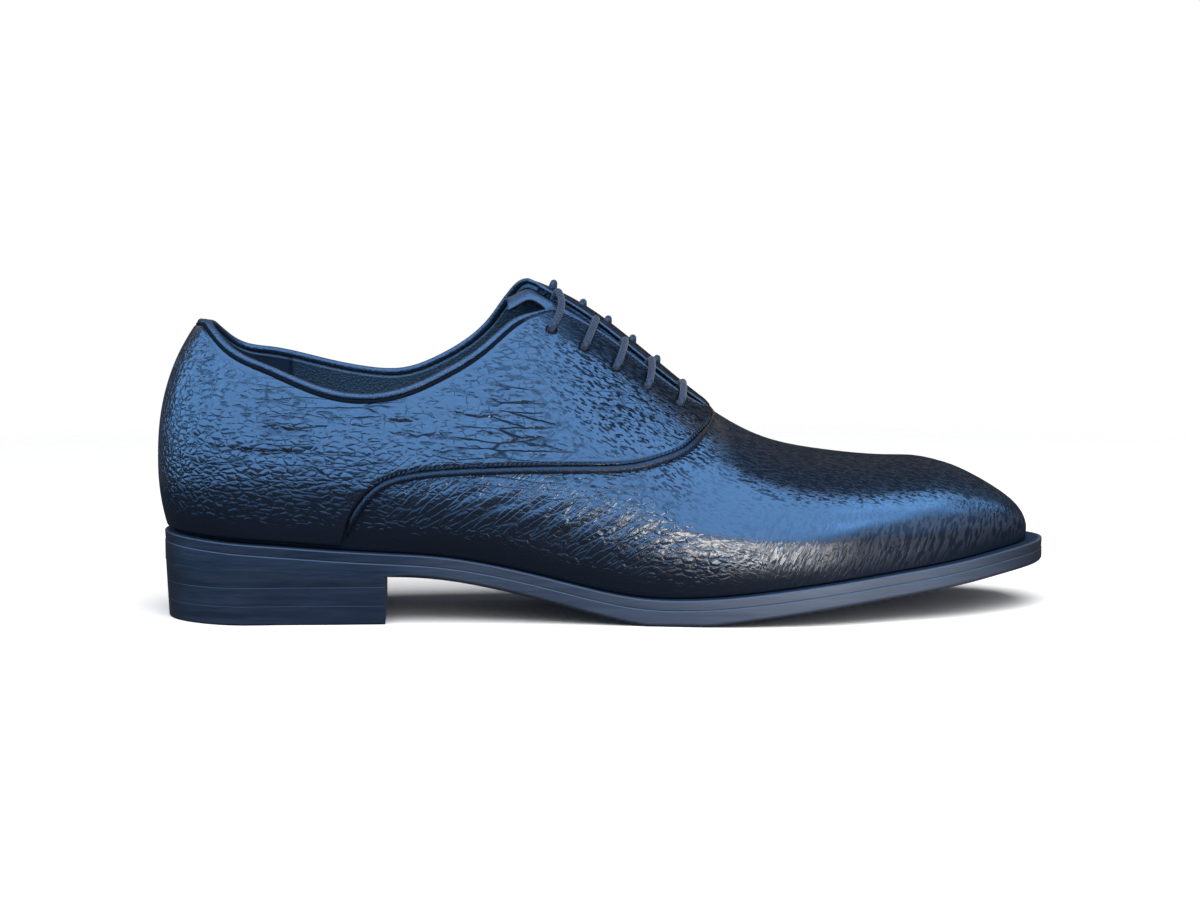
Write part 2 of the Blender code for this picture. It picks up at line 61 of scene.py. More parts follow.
# the last: millimetres from the heel's back edge and the floor
toOrigin = np.array((153.57, -0.93, 0.0))
gap = 0.35
lowShare = 0.3
cornerX = 125.5
throatEndX = 188.6
panelEndX = 187.6
seamFootX = 61.7
seamTurnX = 180.0
# quarters: clearance over the upper and over the sole, thickness, height of their face over the last
lap = 0.4
panelFoot = 1.4
panelThick = 1.3
face = lap + panelThick
lastNames = ("x", "y", "turn", "featherOut", "featherIn", "girthOut", "girthIn",
             "girthZ", "crownZ", "roundUp", "roundOver", "fall", "welt")
lastRows = (
    (34, 0.0, 180, 30.1, 30.1, 33.4, 33.4, 51.0, 118.0, 2.40, 1.14, 0.00, 3.0),
    (34, 0.0, 150, 29.6, 29.6, 32.9, 32.9, 51.0, 116.6, 2.38, 1.11, 0.00, 3.3),
    (34, 0.0, 120, 28.6, 28.6, 31.8, 31.7, 50.5, 114.0, 2.35, 1.05, 0.00, 3.7),
    (34, 0.0, 90, 28.0, 28.0, 31.2, 31.0, 50.0, 112.0, 2.30, 1.00, 0.00, 4.0),
    (60, 1.0, 90, 30.0, 26.2, 33.3, 29.8, 48.0, 113.0, 2.10, 1.00, 0.00, 3.9),
    (90, 3.0, 90, 33.8, 20.4, 38.2, 29.8, 46.0, 119.0, 1.80, 1.05, 0.00, 3.0),
    (120, 6.0, 90, 39.6, 15.5, 44.6, 29.5, 43.0, 114.8, 1.50, 1.55, 0.00, 3.0),
    (150, 7.0, 90, 45.0, 16.8, 49.4, 30.0, 38.0, 100.5, 1.50, 1.62, 0.00, 3.6),
    (180, 6.5, 90, 50.1, 27.0, 52.9, 34.5, 31.0, 76.3, 1.55, 1.65, 0.00, 4.3),
    (205, 5.5, 90, 51.6, 36.5, 53.4, 39.4, 28.0, 60.3, 1.70, 1.80, 0.00, 4.6),
    (228, 5.0, 90, 48.8, 39.0, 49.8, 40.4, 27.5, 54.6, 1.85, 1.95, 0.00, 4.7),
    (250, 4.5, 90, 41.9, 36.4, 42.5, 37.2, 28.0, 52.3, 1.92, 2.00, 0.02, 4.8),
    (262, 4.5, 78, 35.9, 33.0, 36.4, 33.5, 28.4, 52.0, 1.90, 2.00, 0.12, 4.9),
    (271, 4.5, 62, 29.6, 28.2, 30.0, 28.6, 28.2, 50.2, 1.80, 2.00, 0.28, 5.0),
    (278, 4.5, 44, 24.8, 24.0, 25.1, 24.3, 27.6, 47.8, 1.72, 2.00, 0.42, 5.2),
    (282.6, 4.5, 24, 20.2, 19.8, 20.4, 20.0, 26.9, 45.3, 1.66, 2.00, 0.52, 5.6),
    (285.4, 4.5, 0, 16.8, 16.8, 17.0, 17.0, 26.2, 43.9, 1.60, 2.00, 0.58, 6.0),
)
# x, underside of the outsole, top of the midsole
soleRows = (
    (0, 19.4, 29.6), (35, 18.0, 26.6), (77, 16.0, 23.6), (91, 15.2, 22.7), (107, 12.8, 20.5),
    (127, 8.2, 16.2), (146, 3.3, 11.6), (160, 0.3, 9.2), (172, -0.5, 8.7), (184, 0.3, 9.2),
    (200, 2.4, 10.8), (220, 5.1, 13.2), (252, 8.9, 16.7), (276, 11.9, 19.7), (296, 14.5, 22.3),
    (310, 15.8, 23.6),
)
# x, outer height, inner height of the topline
collarRows = (
    (17, 99.0, 98.4), (22, 92.8, 93.0), (36, 84.2, 88.2), (55, 76.4, 83.8), (70, 74.1, 80.8),
    (84, 76.4, 80.6), (98, 82.6, 86.0), (110, 90.0, 94.0), (116, 95.0, 100.6), (121, 98.9, 107.9),
    (127.5, 101.8, 113.2), (134, 103.2, 114.2),
)
# x, reach of the throat's middle from the crown, width
throatRows = (
    (125.5, 7.6, 15.2), (130, 9.0, 11.2), (140, 10.4, 7.4), (150, 11.6, 6.0), (165, 13.2, 5.6),
    (178, 13.1, 5.8), (185, 11.6, 3.8), (188.6, 10.2, 0.0),
)
vampRows = ((188.6, 10.2), (205, 5.0), (220, 1.4), (235, 0.0), (290, 0.0))
# x, height of the lapped seam
seamRows = (
    (61.7, 27.0), (63.2, 32.5), (65.7, 38.0), (72, 45.6), (81, 49.8), (91, 51.4), (107, 52.3),
    (127, 52.8), (147, 52.8), (160, 53.6), (170, 56.0), (176, 58.2), (181.5, 62.0), (185.4, 65.0),
    (188.6, 67.8),
)


def smoothCurve(knots, values, levelEnds=False):
    x = np.asarray(knots, float)
    y = np.asarray(values, float)
    step = np.diff(x)
    slope = np.diff(y) / step
    system = np.eye(len(x))
    pull = np.zeros(len(x))
    for k in range(1, len(x) - 1):
        system[k, k - 1:k + 2] = step[k - 1], 2 * (step[k - 1] + step[k]), step[k]
        pull[k] = 6 * (slope[k] - slope[k - 1])
    if levelEnds:
        system[0, :2] = 2 * step[0], step[0]
        system[-1, -2:] = step[-1], 2 * step[-1]
        pull[0] = 6 * slope[0]
        pull[-1] = -6 * slope[-1]
    bend = np.linalg.solve(system, pull)

    def value(at):
        at = np.clip(at, x[0], x[-1])
        k = np.clip(np.searchsorted(x, at) - 1, 0, len(step) - 1)
        a = (x[k + 1] - at) / step[k]
        b = 1 - a
        curve = (a**3 - a) * bend[k] + (b**3 - b) * bend[k + 1]
        return a * y[k] + b * y[k + 1] + curve * step[k] ** 2 / 6

    return value


def spread(rows, k):
    return smoothCurve([row[0] for row in rows], [row[k] for row in rows])


def lastPlaces():
    # share of the way along the outer feather edge at each row of the last
    points = [(row[0] + row[3] * math.cos(math.radians(row[2])), row[1] - row[3] * math.sin(math.radians(row[2])))
              for row in lastRows]
    lengths = [math.dist(a, b) for a, b in zip(points, points[1:])]
    return np.concatenate([[0], np.cumsum(lengths)]) / sum(lengths)


rowPlaces = lastPlaces()
lastCurves = {name: smoothCurve(rowPlaces, [row[k] for row in lastRows], name != "turn")
              for k, name in enumerate(lastNames)}
outsoleUnder, soleTop = spread(soleRows, 1), spread(soleRows, 2)
collarOut, collarIn = spread(collarRows, 1), spread(collarRows, 2)
throatMiddle, throatWidth = spread(throatRows, 1), spread(throatRows, 2)
vampMiddle, seamHeight = spread(vampRows, 1), spread(seamRows, 1)


def soleUnder(x):
    return np.maximum(outsoleUnder(x), 0.0)


def reachAndHeight(u, v):
    row = {name: curve(u) for name, curve in lastCurves.items()}
    outer = v <= 1
    rise = np.where(outer, v, 2 - v)
    feather = np.where(outer, row["featherOut"], row["featherIn"])
    girth = np.where(outer, row["girthOut"], row["girthIn"])
    toToe = np.cos(np.radians(row["turn"]))
    w = rise / lowShare
    foot = soleTop(row["x"] + feather * toToe) + gap
    lowReach = feather + (girth - feather) * (1 - (1 - w) ** 2)
    lowHeight = foot + (row["girthZ"] - foot) * w
    arch = np.clip((rise - lowShare) / (1 - lowShare), 0, 1) * math.pi / 2
    reach = girth * np.maximum(np.cos(arch), 0) ** (2 / row["roundOver"])
    height = (row["crownZ"] - row["girthZ"]) * np.sin(arch) ** (2 / row["roundUp"])
    fall = row["fall"] * toToe * reach * (1 - reach / girth)
    low = rise < lowShare
    return np.where(low, lowReach, reach), np.where(low, lowHeight, row["girthZ"] + height - fall)


def planPoint(u, side, reach):
    angle = np.radians(lastCurves["turn"](u))
    return lastCurves["x"](u) + reach * np.cos(angle), lastCurves["y"](u) + side * reach * np.sin(angle)


def lastPoint(u, v):
    u, v = np.broadcast_arrays(np.asarray(u, float), np.asarray(v, float))
    reach, height = reachAndHeight(u, v)
    x, y = planPoint(u, np.where(v <= 1, -1, 1), reach)
    return np.stack([x, y, height], axis=-1)


def unit(vectors):
    return vectors / np.maximum(np.linalg.norm(vectors, axis=-1, keepdims=True), 1e-12)


def walkedAlong(points):
    return np.concatenate([[0], np.cumsum(np.linalg.norm(np.diff(points, axis=0), axis=1))])


def lastNormal(u, v, nudge=0.002):
    u, v = np.broadcast_arrays(np.asarray(u, float), np.asarray(v, float))
    along = lastPoint(np.minimum(u + nudge, 1), v) - lastPoint(np.maximum(u - nudge, 0), v)
    across = lastPoint(u, np.minimum(v + nudge, 2)) - lastPoint(u, np.maximum(v - nudge, 0))
    return unit(np.cross(along, across))


def raised(u, v, lift):
    # points above the last, and its normals there
    normals = lastNormal(u, v)
    return lastPoint(u, v) + normals * lift, normals


def crossing(test, low, high, size, halvings=40):
    # where the test turns true between low and high
    low, high = np.full(size, float(low)), np.full(size, float(high))
    for _ in range(halvings):
        middle = (low + high) / 2
        hit = test(middle)
        low, high = np.where(hit, low, middle), np.where(hit, middle, high)
    return (low + high) / 2


def placeOfX(x):
    x = np.atleast_1d(np.asarray(x, float))
    return crossing(lambda u: lastCurves["x"](u) > x, rowPlaces[3], 1.0, x.shape)


def above(u, curve, v):
    point = lastPoint(u, v)
    return point[..., 2] > curve(point[..., 0])


def outerAtReach(u, reach):
    return crossing(lambda v: reachAndHeight(u, v)[0] < reach, lowShare, 1.0, u.shape)


def throatHalf(u, sign):
    x = lastCurves["x"](u)
    return np.maximum(throatMiddle(x) + sign * np.maximum(throatWidth(x), 0) / 2, 0)


def outerEdge(u):
    x = lastCurves["x"](u)
    topline = crossing(lambda v: above(u, collarOut, v), lowShare, 1.0, u.shape)
    topline = np.where(x < collarRows[-1][0], topline, 1.0)
    facing = np.where(x > throatRows[0][0], outerAtReach(u, throatHalf(u, 1)), 1.0)
    return np.where(x >= throatEndX, outerAtReach(u, vampMiddle(x)), np.minimum(topline, facing))


def innerEdge(u):
    x = lastCurves["x"](u)
    topline = crossing(lambda v: ~above(u, collarIn, v), 1.0, 2 - lowShare, u.shape)
    facing = outerAtReach(u, throatHalf(u, -1))
    edge = topline + (facing - topline) * soft(cornerX - 5, cornerX + 7, x)
    return np.where(x >= throatEndX, outerAtReach(u, vampMiddle(x)), edge)


def outerSeam(u):
    return crossing(lambda v: above(u, seamHeight, v), 0.0, 1.0, u.shape)


def innerSeam(u):
    turn = placeOfX(seamTurnX)
    end = placeOfX(throatEndX)
    start = crossing(lambda v: ~above(np.minimum(u, turn), seamHeight, v), 1.0, 2.0, u.shape)
    along = np.clip((u - turn) / (end - turn), 0, 1)
    return start + (outerEdge(end) - start) * along


def panelStart(u, foot, seam):
    sign = 1 if foot == 0 else -1
    base = lastPoint(u, np.full(u.shape, foot))[:, 2]
    climb = crossing(lambda s: lastPoint(u, foot + sign * s)[:, 2] > base + panelFoot, 0.0, lowShare, u.shape)
    return foot + sign * np.where(lastCurves["x"](u) >= seamFootX, np.maximum(climb, abs(foot - seam(u))), climb)


def columnsTo(stops):
    places = [np.zeros(1)]
    for x, count in stops:
        end = placeOfX(x)[0] if x else 1.0
        places.append(np.linspace(places[-1][-1], end, count + 1)[1:])
    return np.concatenate(places)


def stepsAcross(u, vStart, vEnd, edgeSteps, rows, samples=160):
    # v, and the length from each end, for rows that lie closer at both edges
    fine = vStart[:, None] + (vEnd - vStart)[:, None] * np.linspace(0, 1, samples)
    points = lastPoint(u[:, None], fine)
    walked = np.cumsum(np.linalg.norm(np.diff(points, axis=1), axis=2), axis=1)
    walked = np.concatenate([np.zeros((len(u), 1)), walked], axis=1)
    edge = np.array(edgeSteps)
    v, low, top = [], [], []
    for k in range(len(u)):
        total = walked[k, -1]
        near = edge * min(1.0, 0.4 * total / edge[-1])
        inside = np.linspace(near[-1], total - near[-1], rows + 1)[1:-1]
        at = np.concatenate([near, inside, total - near[::-1]])
        v.append(np.interp(at, walked[k], fine[k]))
        low.append(at)
        top.append(total - at)
    return np.array(v), np.array(low), np.array(top)


def soft(low, high, value):
    t = np.clip((value - low) / (high - low), 0, 1)
    return t * t * (3 - 2 * t)


def band(low, high, edge, value):
    return soft(low - edge, low, value) * (1 - soft(high, high + edge, value))


# relief that repeats nowhere: a sum of turned waves, in millimetres
def ripple(points, size, seed, waves=9):
    roll = np.random.default_rng(seed)
    total = np.zeros(points.shape[:-1])
    for _ in range(waves):
        way = unit(roll.normal(size=3)) / size * roll.uniform(0.6, 1.6)
        total += np.sin(points @ way * 2 * math.pi + roll.uniform(0, 6.28))
    return total / waves


# one crease: a soft trough with a low ridge above it, along the route of its row
def crease(points, row):
    line = np.reshape(row[:6], (3, 2))
    width, depth = row[6:]
    best = np.full(points.shape[:-1], 1e9)
    signed = np.zeros(points.shape[:-1])
    along = np.zeros(points.shape[:-1])
    lengths = walkedAlong(line)
    flat = points[..., (0, 2)]
    for k in range(len(line) - 1):
        way = line[k + 1] - line[k]
        size = np.linalg.norm(way)
        share = np.clip(((flat - line[k]) @ way) / size**2, 0, 1)
        off = flat - line[k] - share[..., None] * way
        far = np.linalg.norm(off, axis=-1)
        nearer = far < best
        best = np.where(nearer, far, best)
        signed = np.where(nearer, off[..., 1], signed)
        along = np.where(nearer, (lengths[k] + share * size) / lengths[-1], along)
    fade = np.sin(np.clip(along, 0.02, 0.98) * math.pi) ** 0.6
    trough = np.exp(-((best / width) ** 2))
    ridge = np.exp(-(((best - 1.7 * width) / width) ** 2)) * soft(0, 0.5 * width, signed)
    return depth * fade * (0.45 * ridge - trough)


def toFrame(points):
    return (points - toOrigin) * 0.001


def gridInto(bm, points, marks=None, flip=False):
    # grid of points (columns, rows, 3) joined to bm, with one float attribute for each mark
    columns, rows = points.shape[:2]
    piece = bmesh.new()
    piece.loops.layers.uv.new("grid")
    bmesh.ops.create_grid(piece, x_segments=columns - 1, y_segments=rows - 1, size=0.5, calc_uvs=True)
    mesh = bpy.data.meshes.new("grid")
    piece.to_mesh(mesh)
    piece.free()
    flat = np.empty(len(mesh.vertices) * 3)
    mesh.vertices.foreach_get("co", flat)
    at = np.rint((flat.reshape(-1, 3)[:, :2] + 0.5) * (columns - 1, rows - 1)).astype(int)
    mesh.vertices.foreach_set("co", toFrame(points[at[:, 0], at[:, 1]]).ravel())
    for key, values in (marks or {}).items():
        layer = mesh.attributes.new(key, "FLOAT", "POINT")
        layer.data.foreach_set("value", np.ascontiguousarray(values[at[:, 0], at[:, 1]], dtype=np.float32))
    if flip:
        mesh.flip_normals()
    bm.from_mesh(mesh)
    bpy.data.meshes.remove(mesh)
    return bm


# all pieces: the coloured lamps shine on these alone, so the floor stays white
shoePieces = bpy.data.collections.new("shoePieces")


def addPiece(name, bm, materials, replaces=(), merge=2e-6):
    if merge:
        bmesh.ops.remove_doubles(bm, verts=bm.verts, dist=merge)
        bmesh.ops.dissolve_degenerate(bm, edges=bm.edges, dist=1e-7)
    mesh = bpy.data.meshes.new(name)
    bm.to_mesh(mesh)
    bm.free()
    mesh.shade_smooth()
    for material in materials:
        mesh.materials.append(material)
    piece = bpy.data.objects.new(name, mesh)
    scene.collection.objects.link(piece)
    shoePieces.objects.link(piece)
    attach(piece, "root")
    if replaces:
        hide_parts(*replaces)
    print("piece", name, len(mesh.polygons), "faces")
    return piece


def addWall(piece, thickness):
    wall = piece.modifiers.new("wall", "SOLIDIFY")
    wall.thickness = thickness * 0.001
    wall.offset = -1
    wall.use_even_offset = False
    wall.use_quality_normals = True
    wall.material_offset = 1
    wall.material_offset_rim = 2


def tube(points, radius, sides, up):
    # rings round a path of points (n, 3), with the first side of each ring turned to up
    ahead = unit(np.gradient(points, axis=0))
    side = unit(np.cross(ahead, up))
    top = np.cross(side, ahead)
    angle = -np.linspace(0, 2 * math.pi, sides + 1)
    ring = np.cos(angle)[None, :, None] * top[:, None] - np.sin(angle)[None, :, None] * side[:, None]
    radius = np.broadcast_to(radius, len(points))
    return points[:, None] + ring * radius[:, None, None]


def roundEnds(count, radius, steps=4):
    # radius along a tube whose two ends are rounded off
    share = np.sin(np.linspace(0, math.pi / 2, steps + 1))
    size = np.full(count, radius)
    size[:steps + 1] = radius * share
    size[-steps - 1:] = radius * share[::-1]
    return size


def evenly(points, pitch):
    lengths = walkedAlong(points)
    at = np.linspace(0, lengths[-1], max(int(round(lengths[-1] / pitch)), 2) + 1)
    return np.stack([np.interp(at, lengths, points[:, k]) for k in range(3)], axis=1)


class Tone:
    # one output of a node, with arithmetic
    def __init__(self, finish, socket):
        self.finish = finish
        self.socket = socket

    def math(self, operation, first, second=0.0):
        return self.finish.node("Math", {"operation": operation}, {0: first, 1: second})

    def __add__(self, other):
        return self.math("ADD", self, other)

    def __sub__(self, other):
        return self.math("SUBTRACT", self, other)

    def __rsub__(self, other):
        return self.math("SUBTRACT", other, self)

    def __mul__(self, other):
        return self.math("MULTIPLY", self, other)

    __radd__ = __add__
    __rmul__ = __mul__


class Finish:
    # the nodes of one material, or of the world
    def __init__(self, name, owners=bpy.data.materials):
        self.owner = owners.new(name)
        self.owner.use_nodes = True
        self.tree = self.owner.node_tree
        self.shader = self.tree.nodes.get("Principled BSDF")

    def node(self, kind, settings=None, sockets=None, out=0):
        node = self.tree.nodes.new("ShaderNode" + kind)
        for key, value in (settings or {}).items():
            setattr(node, key, value)
        self.feed(node, sockets or {})
        return Tone(self, node.outputs[out])

    def feed(self, node, sockets):
        for key, value in sockets.items():
            if isinstance(value, Tone):
                self.tree.links.new(value.socket, node.inputs[key])
            else:
                node.inputs[key].default_value = value

    def mark(self, name):
        return self.node("Attribute", {"attribute_name": name}, out="Fac")

    def place(self):
        return self.node("TexCoord", out="Object")

    def noise(self, vector, scale, detail, out="Fac"):
        return self.node("TexNoise", {}, {"Vector": vector, "Scale": scale, "Detail": detail}, out)

    def cells(self, vector, scale, randomness=1.0):
        return self.node("TexVoronoi", {"feature": "DISTANCE_TO_EDGE"},
                         {"Vector": vector, "Scale": scale, "Randomness": randomness}, "Distance")

    def ease(self, value, low, high):
        return self.node("MapRange", {"interpolation_type": "SMOOTHSTEP"},
                         {"Value": value, "From Min": low, "From Max": high})

    def blend(self, factor, first, second):
        return self.node("Mix", {"data_type": "RGBA"}, {0: factor, 6: first, 7: second}, out=2)

    def bump(self, height, distance):
        return self.node("Bump", {}, {"Height": height, "Distance": distance, "Strength": 1.0})

    def finish(self, colour, rough, height, relief, sockets=None):
        self.feed(self.shader, {"Base Color": colour, "Roughness": rough, "Normal": self.bump(height, relief)})
        self.feed(self.shader, sockets or {})
        return self.owner

    def show(self, shader, output):
        self.tree.links.new(shader.socket, self.tree.nodes[output].inputs["Surface"])

    def paintShadeInto(self, depth, sockets):
        # a second, matt dark surface where depth is 1: painted shade at the bottom of a crease or dash, and on walls
        # and tops painted as shaded
        matt = self.node("BsdfPrincipled", {}, sockets)
        mixed = self.node("MixShader", {}, {0: depth, 1: Tone(self, self.shader.outputs[0]), 2: matt})
        self.show(mixed, "Material Output")


# grained leather. Sizes are cells per metre, directions are degrees about the shoe's cross axis
leather = {
    # several colours here are painted shade: darker tops, dark under the wall's turn and in grooves, near-black crease
    # bottoms, a dull grey toe wall
    "navy": (0.010, 0.017, 0.034, 1), "creaseShade": (0.0015, 0.002, 0.0035, 1), "darkShadeMatt": (0.0060, 0.0075, 0.0130, 1),
    "topShade": (0.0075, 0.0060, 0.0055, 1), "darkShade": (0.0038, 0.0052, 0.0090, 1), "low": (0.030, 0.032, 0.041, 1),
    "pebble": 500, "facing": 960, "vamp": 1000, "toe": 680, "creases": 300, "fold": 500,
    "relief": 0.00034, "rough": 0.23,
}


def makeLeather(values):
    f = Finish("grainLeather")
    place = f.place()
    stir = f.noise(place, 260, 2.0, "Color")
    place = f.node("VectorMath", {"operation": "MULTIPLY_ADD"},
                   {0: stir, 1: (0.0009, 0.0009, 0.0009), 2: place}, out="Vector")
    patches = f.noise(place, 42, 3.0)
    breaks = f.noise(place, 420, 1.0)
    broken = 0.15 + 0.85 * f.ease(breaks + 0.4 * (patches - 0.5), 0.38, 0.62)
    denseAndShaded = f.mark("denseAndShaded")

    def turned(turn, stretch):
        return f.node("Mapping", {"vector_type": "TEXTURE"},
                      {"Vector": place, "Rotation": (0, math.radians(turn), 0), "Scale": stretch})

    def edges(turn, stretch, size):
        return f.cells(turned(turn, stretch), size, 0.95)

    def dashes(turn, stretch, size, low, high, more=0.0):
        return 1 - f.ease(f.noise(turned(turn, stretch), size, 1.0) - more, low, high)

    def grain(turn, length, size, dome, line, darkShade, more):
        # low domes, and short dashes along them, painted dark as shade in their bottoms: height, and how much painted
        # shade each dash gets
        edge = edges(turn, (length, 1.0, 1.0), size)
        dash = dashes(turn, (1.5 * length, 1.2, 1.0), 1.25 * size, 0.36, 0.47, more)
        return dome * f.ease(edge, 0.0, 0.5) - line * dash, darkShade * dash

    edge = edges(6, (1.9, 1.0, 1.0), values["pebble"])
    dash = dashes(4, (3.2, 1.3, 1.0), 1.2 * values["pebble"], 0.32, 0.42)
    height = 0.36 * f.ease(edge, 0.0, 0.5) - 0.42 * (1 - f.ease(edge, 0.0, 0.20)) * broken - 0.3 * dash
    shadeCut = dash.math("MAXIMUM", 0.5 * dash, 0.65 * (1 - f.ease(edge, 0.0, 0.10)) * broken)
    toe = grain(-68, 2.8, values["toe"], 0.34, 0.45, 0.55, 0.07)
    grains = (
        ("facingGrain", grain(34, 2.0, values["facing"], 0.34, 0.40, 0.95, 0.02 + 0.12 * denseAndShaded)),
        ("vampGrain", grain(16, 2.2, values["vamp"], 0.30, 0.30, 0.92, 0.12 * denseAndShaded)),
        ("toeGrain", toe),
    )
    for key, (rise, line) in grains:
        weight = f.mark(key)
        height = height * (1 - weight) + rise * weight
        shadeCut = shadeCut * (1 - weight) + line * weight
    fold = f.mark("foldGrain")
    quiet = (1 - 0.85 * f.mark("calm")) * (1 - 0.6 * fold)
    creases = (1 - f.ease(edges(4, (6.5, 1.3, 1.0), values["creases"]), 0.0, 0.08)) * f.mark("creaseGrain")
    creases = creases * f.ease(patches, 0.40, 0.52)
    folds = (1 - f.ease(edges(-37, (7.5, 1.2, 1.0), values["fold"]), 0.0, 0.17)) * fold
    height = height * quiet - 0.9 * creases - 0.6 * folds
    shadeCut = shadeCut.math("MAXIMUM", shadeCut * quiet, 0.9 * creases)
    # the matt dark mix is painted shade: in creases and dashes, on the tops, low on the toe and under the wall's turn
    darkShade, shade = f.mark("darkShade"), f.mark("shade")
    for share in (0.68 * denseAndShaded, 0.86 * shade, 0.70 * darkShade):
        shadeCut = shadeCut.math("MAXIMUM", shadeCut, share)
    # painted shade in the base colour: dark under the wall's turn and in grooves, darker tops
    colour = f.blend(darkShade, values["navy"], values["darkShade"])
    colour = f.blend(f.mark("topShade"), colour, values["topShade"])
    rough = values["rough"] + 0.12 * (patches - 0.5) + 0.06 * folds
    # colour of the painted shade: near-black in creases, dull grey on the toe's lower wall, dark under the wall's turn
    matt = f.blend(shade * (1 - 1.6 * toe[1]), values["creaseShade"], values["low"])
    matt = f.blend(darkShade, matt, values["darkShadeMatt"])
    f.paintShadeInto(shadeCut, {"Base Color": matt, "Roughness": 0.7, "Specular IOR Level": 0.12})
    return f.finish(colour, rough, height, values["relief"],
                    {"Specular IOR Level": 1.0, "Coat Weight": 0.2, "Coat Roughness": 0.14})


lining = {
    "blue": (0.045, 0.098, 0.150, 1), "counter": (0.021, 0.039, 0.072, 1), "seam": (0.003, 0.006, 0.014, 1),
    "seamX": 43.0,
}


def makeLining(values):
    f = Finish("liningLeather")
    place = f.place()
    x = f.node("SeparateXYZ", {}, {0: place}, out="X")
    seam = values["seamX"] * 0.001 - toOrigin[0] * 0.001
    front = f.ease(x, seam - 0.0002, seam + 0.0002)
    line = f.ease(x, seam - 0.0012, seam - 0.0002) * (1 - f.ease(x, seam + 0.0002, seam + 0.0012))
    pores = f.cells(place, 900.0)
    fine = f.noise(place, 60.0, 4.0)
    colour = f.blend(front * (0.55 + 0.9 * (fine - 0.5)), values["counter"], values["blue"])
    colour = f.blend(line * 0.8, colour, values["seam"])
    height = f.ease(pores, 0.0, 0.3) * (0.25 + 0.75 * front) - line * 3.0
    return f.finish(colour, 0.5 + 0.15 * (1 - fine), height, 0.00016)


# each plain finish blends a low and a high colour
plain = {
    "edgeLow": (0.035, 0.045, 0.070, 1), "edgeHigh": (0.120, 0.100, 0.090, 1),
    "beadLow": (0.011, 0.022, 0.050, 1), "beadHigh": (0.020, 0.036, 0.072, 1),
    "beadShade": (0.006, 0.008, 0.015, 1), "beadTopShade": (0.018, 0.015, 0.014, 1),
    "threadLow": (0.006, 0.010, 0.022, 1), "threadHigh": (0.022, 0.045, 0.090, 1),
    "shadowLineLow": (0.0015, 0.002, 0.0035, 1), "shadowLineHigh": (0.005, 0.007, 0.012, 1),
    "laceLow": (0.005, 0.007, 0.012, 1), "laceHigh": (0.019, 0.026, 0.049, 1),
}


def makeCutEdge(values):
    f = Finish("facingEdge")
    place = f.place()
    grain = f.noise(place, 900.0, 4.0)
    wear = f.noise(place, 120.0, 2.0)
    colour = f.blend(f.ease(wear, 0.25, 0.75), values["edgeLow"], values["edgeHigh"])
    return f.finish(colour, 0.55 + 0.2 * (grain - 0.5), grain, 0.0001)


def makeBead(name, gloss, values):
    f = Finish(name)
    place = f.place()
    cells = f.cells(place, 1100.0)
    wear = f.noise(place, 90.0, 3.0)
    colour = f.blend(f.ease(wear, 0.3, 0.7), values["beadLow"], values["beadHigh"])
    # painted shade: the bead darker where it is marked shaded, and on the tops
    colour = f.blend(f.mark("darkShade"), colour, values["beadShade"])
    colour = f.blend(f.mark("topShade"), colour, values["beadTopShade"])
    rough = 0.28 + 0.2 * (wear - 0.5)
    return f.finish(colour, rough, f.ease(cells, 0.0, 0.4), 0.00008, {"Specular IOR Level": gloss})


def makeThread(values):
    f = Finish("seamThread")
    place = f.place()
    twist = f.node("TexWave", {"wave_type": "BANDS", "bands_direction": "DIAGONAL"},
                   {"Vector": place, "Scale": 1500.0, "Distortion": 1.0}, out="Fac")
    colour = f.blend(twist, values["threadLow"], values["threadHigh"])
    return f.finish(colour, 0.45 + 0.2 * (1 - twist), twist, 0.00008)


def makeShadowLine(values):
    # painted shadow: near-black and matt, so the groove reads as shade
    f = Finish("shadowLineMatt")
    fibre = f.noise(f.place(), 1400.0, 3.0)
    colour = f.blend(fibre, values["shadowLineLow"], values["shadowLineHigh"])
    return f.finish(colour, 0.85 + 0.1 * fibre, fibre, 0.0002, {"Specular IOR Level": 0.12})


soleEdge = {
    "navy": (0.007, 0.0085, 0.0155, 1), "light": (0.020, 0.022, 0.032, 1), "channelShadeBlack": (0.003, 0.004, 0.007, 1),
    "rim": (0.045, 0.058, 0.085, 1), "edgeSheen": (0.085, 0.101, 0.135, 1), "rough": 0.34,
}


def makeSoleEdge(values):
    f = Finish("soleEdge")
    place = f.place()
    flat = f.node("Mapping", {}, {"Vector": place, "Scale": (0.25, 0.25, 3.2)})
    streak = f.node("TexNoise", {}, {"Vector": flat, "Scale": 130.0, "Detail": 5.0, "Roughness": 0.65}, out="Fac")
    cloud = f.noise(place, 24.0, 3.0)
    colour = f.blend(f.ease(streak, 0.3, 0.72), values["navy"], values["light"])
    colour = f.blend(0.6 * f.ease(cloud, 0.45, 0.75), colour, values["navy"])
    # painted sheen: paler along the ball and toe, in streaks
    colour = f.blend(f.mark("edgeSheen") * (0.55 + 0.9 * streak), colour, values["edgeSheen"])
    colour = f.blend(0.7 * f.mark("rim"), colour, values["rim"])
    # painted shade: black in the channel by the upper's foot
    colour = f.blend(f.mark("channelAndShade"), colour, values["channelShadeBlack"])
    rough = values["rough"] + 0.25 * (streak - 0.4) + 0.5 * f.mark("channelAndShade")
    return f.finish(colour, rough, streak, 0.00010, {"Specular IOR Level": 0.45})


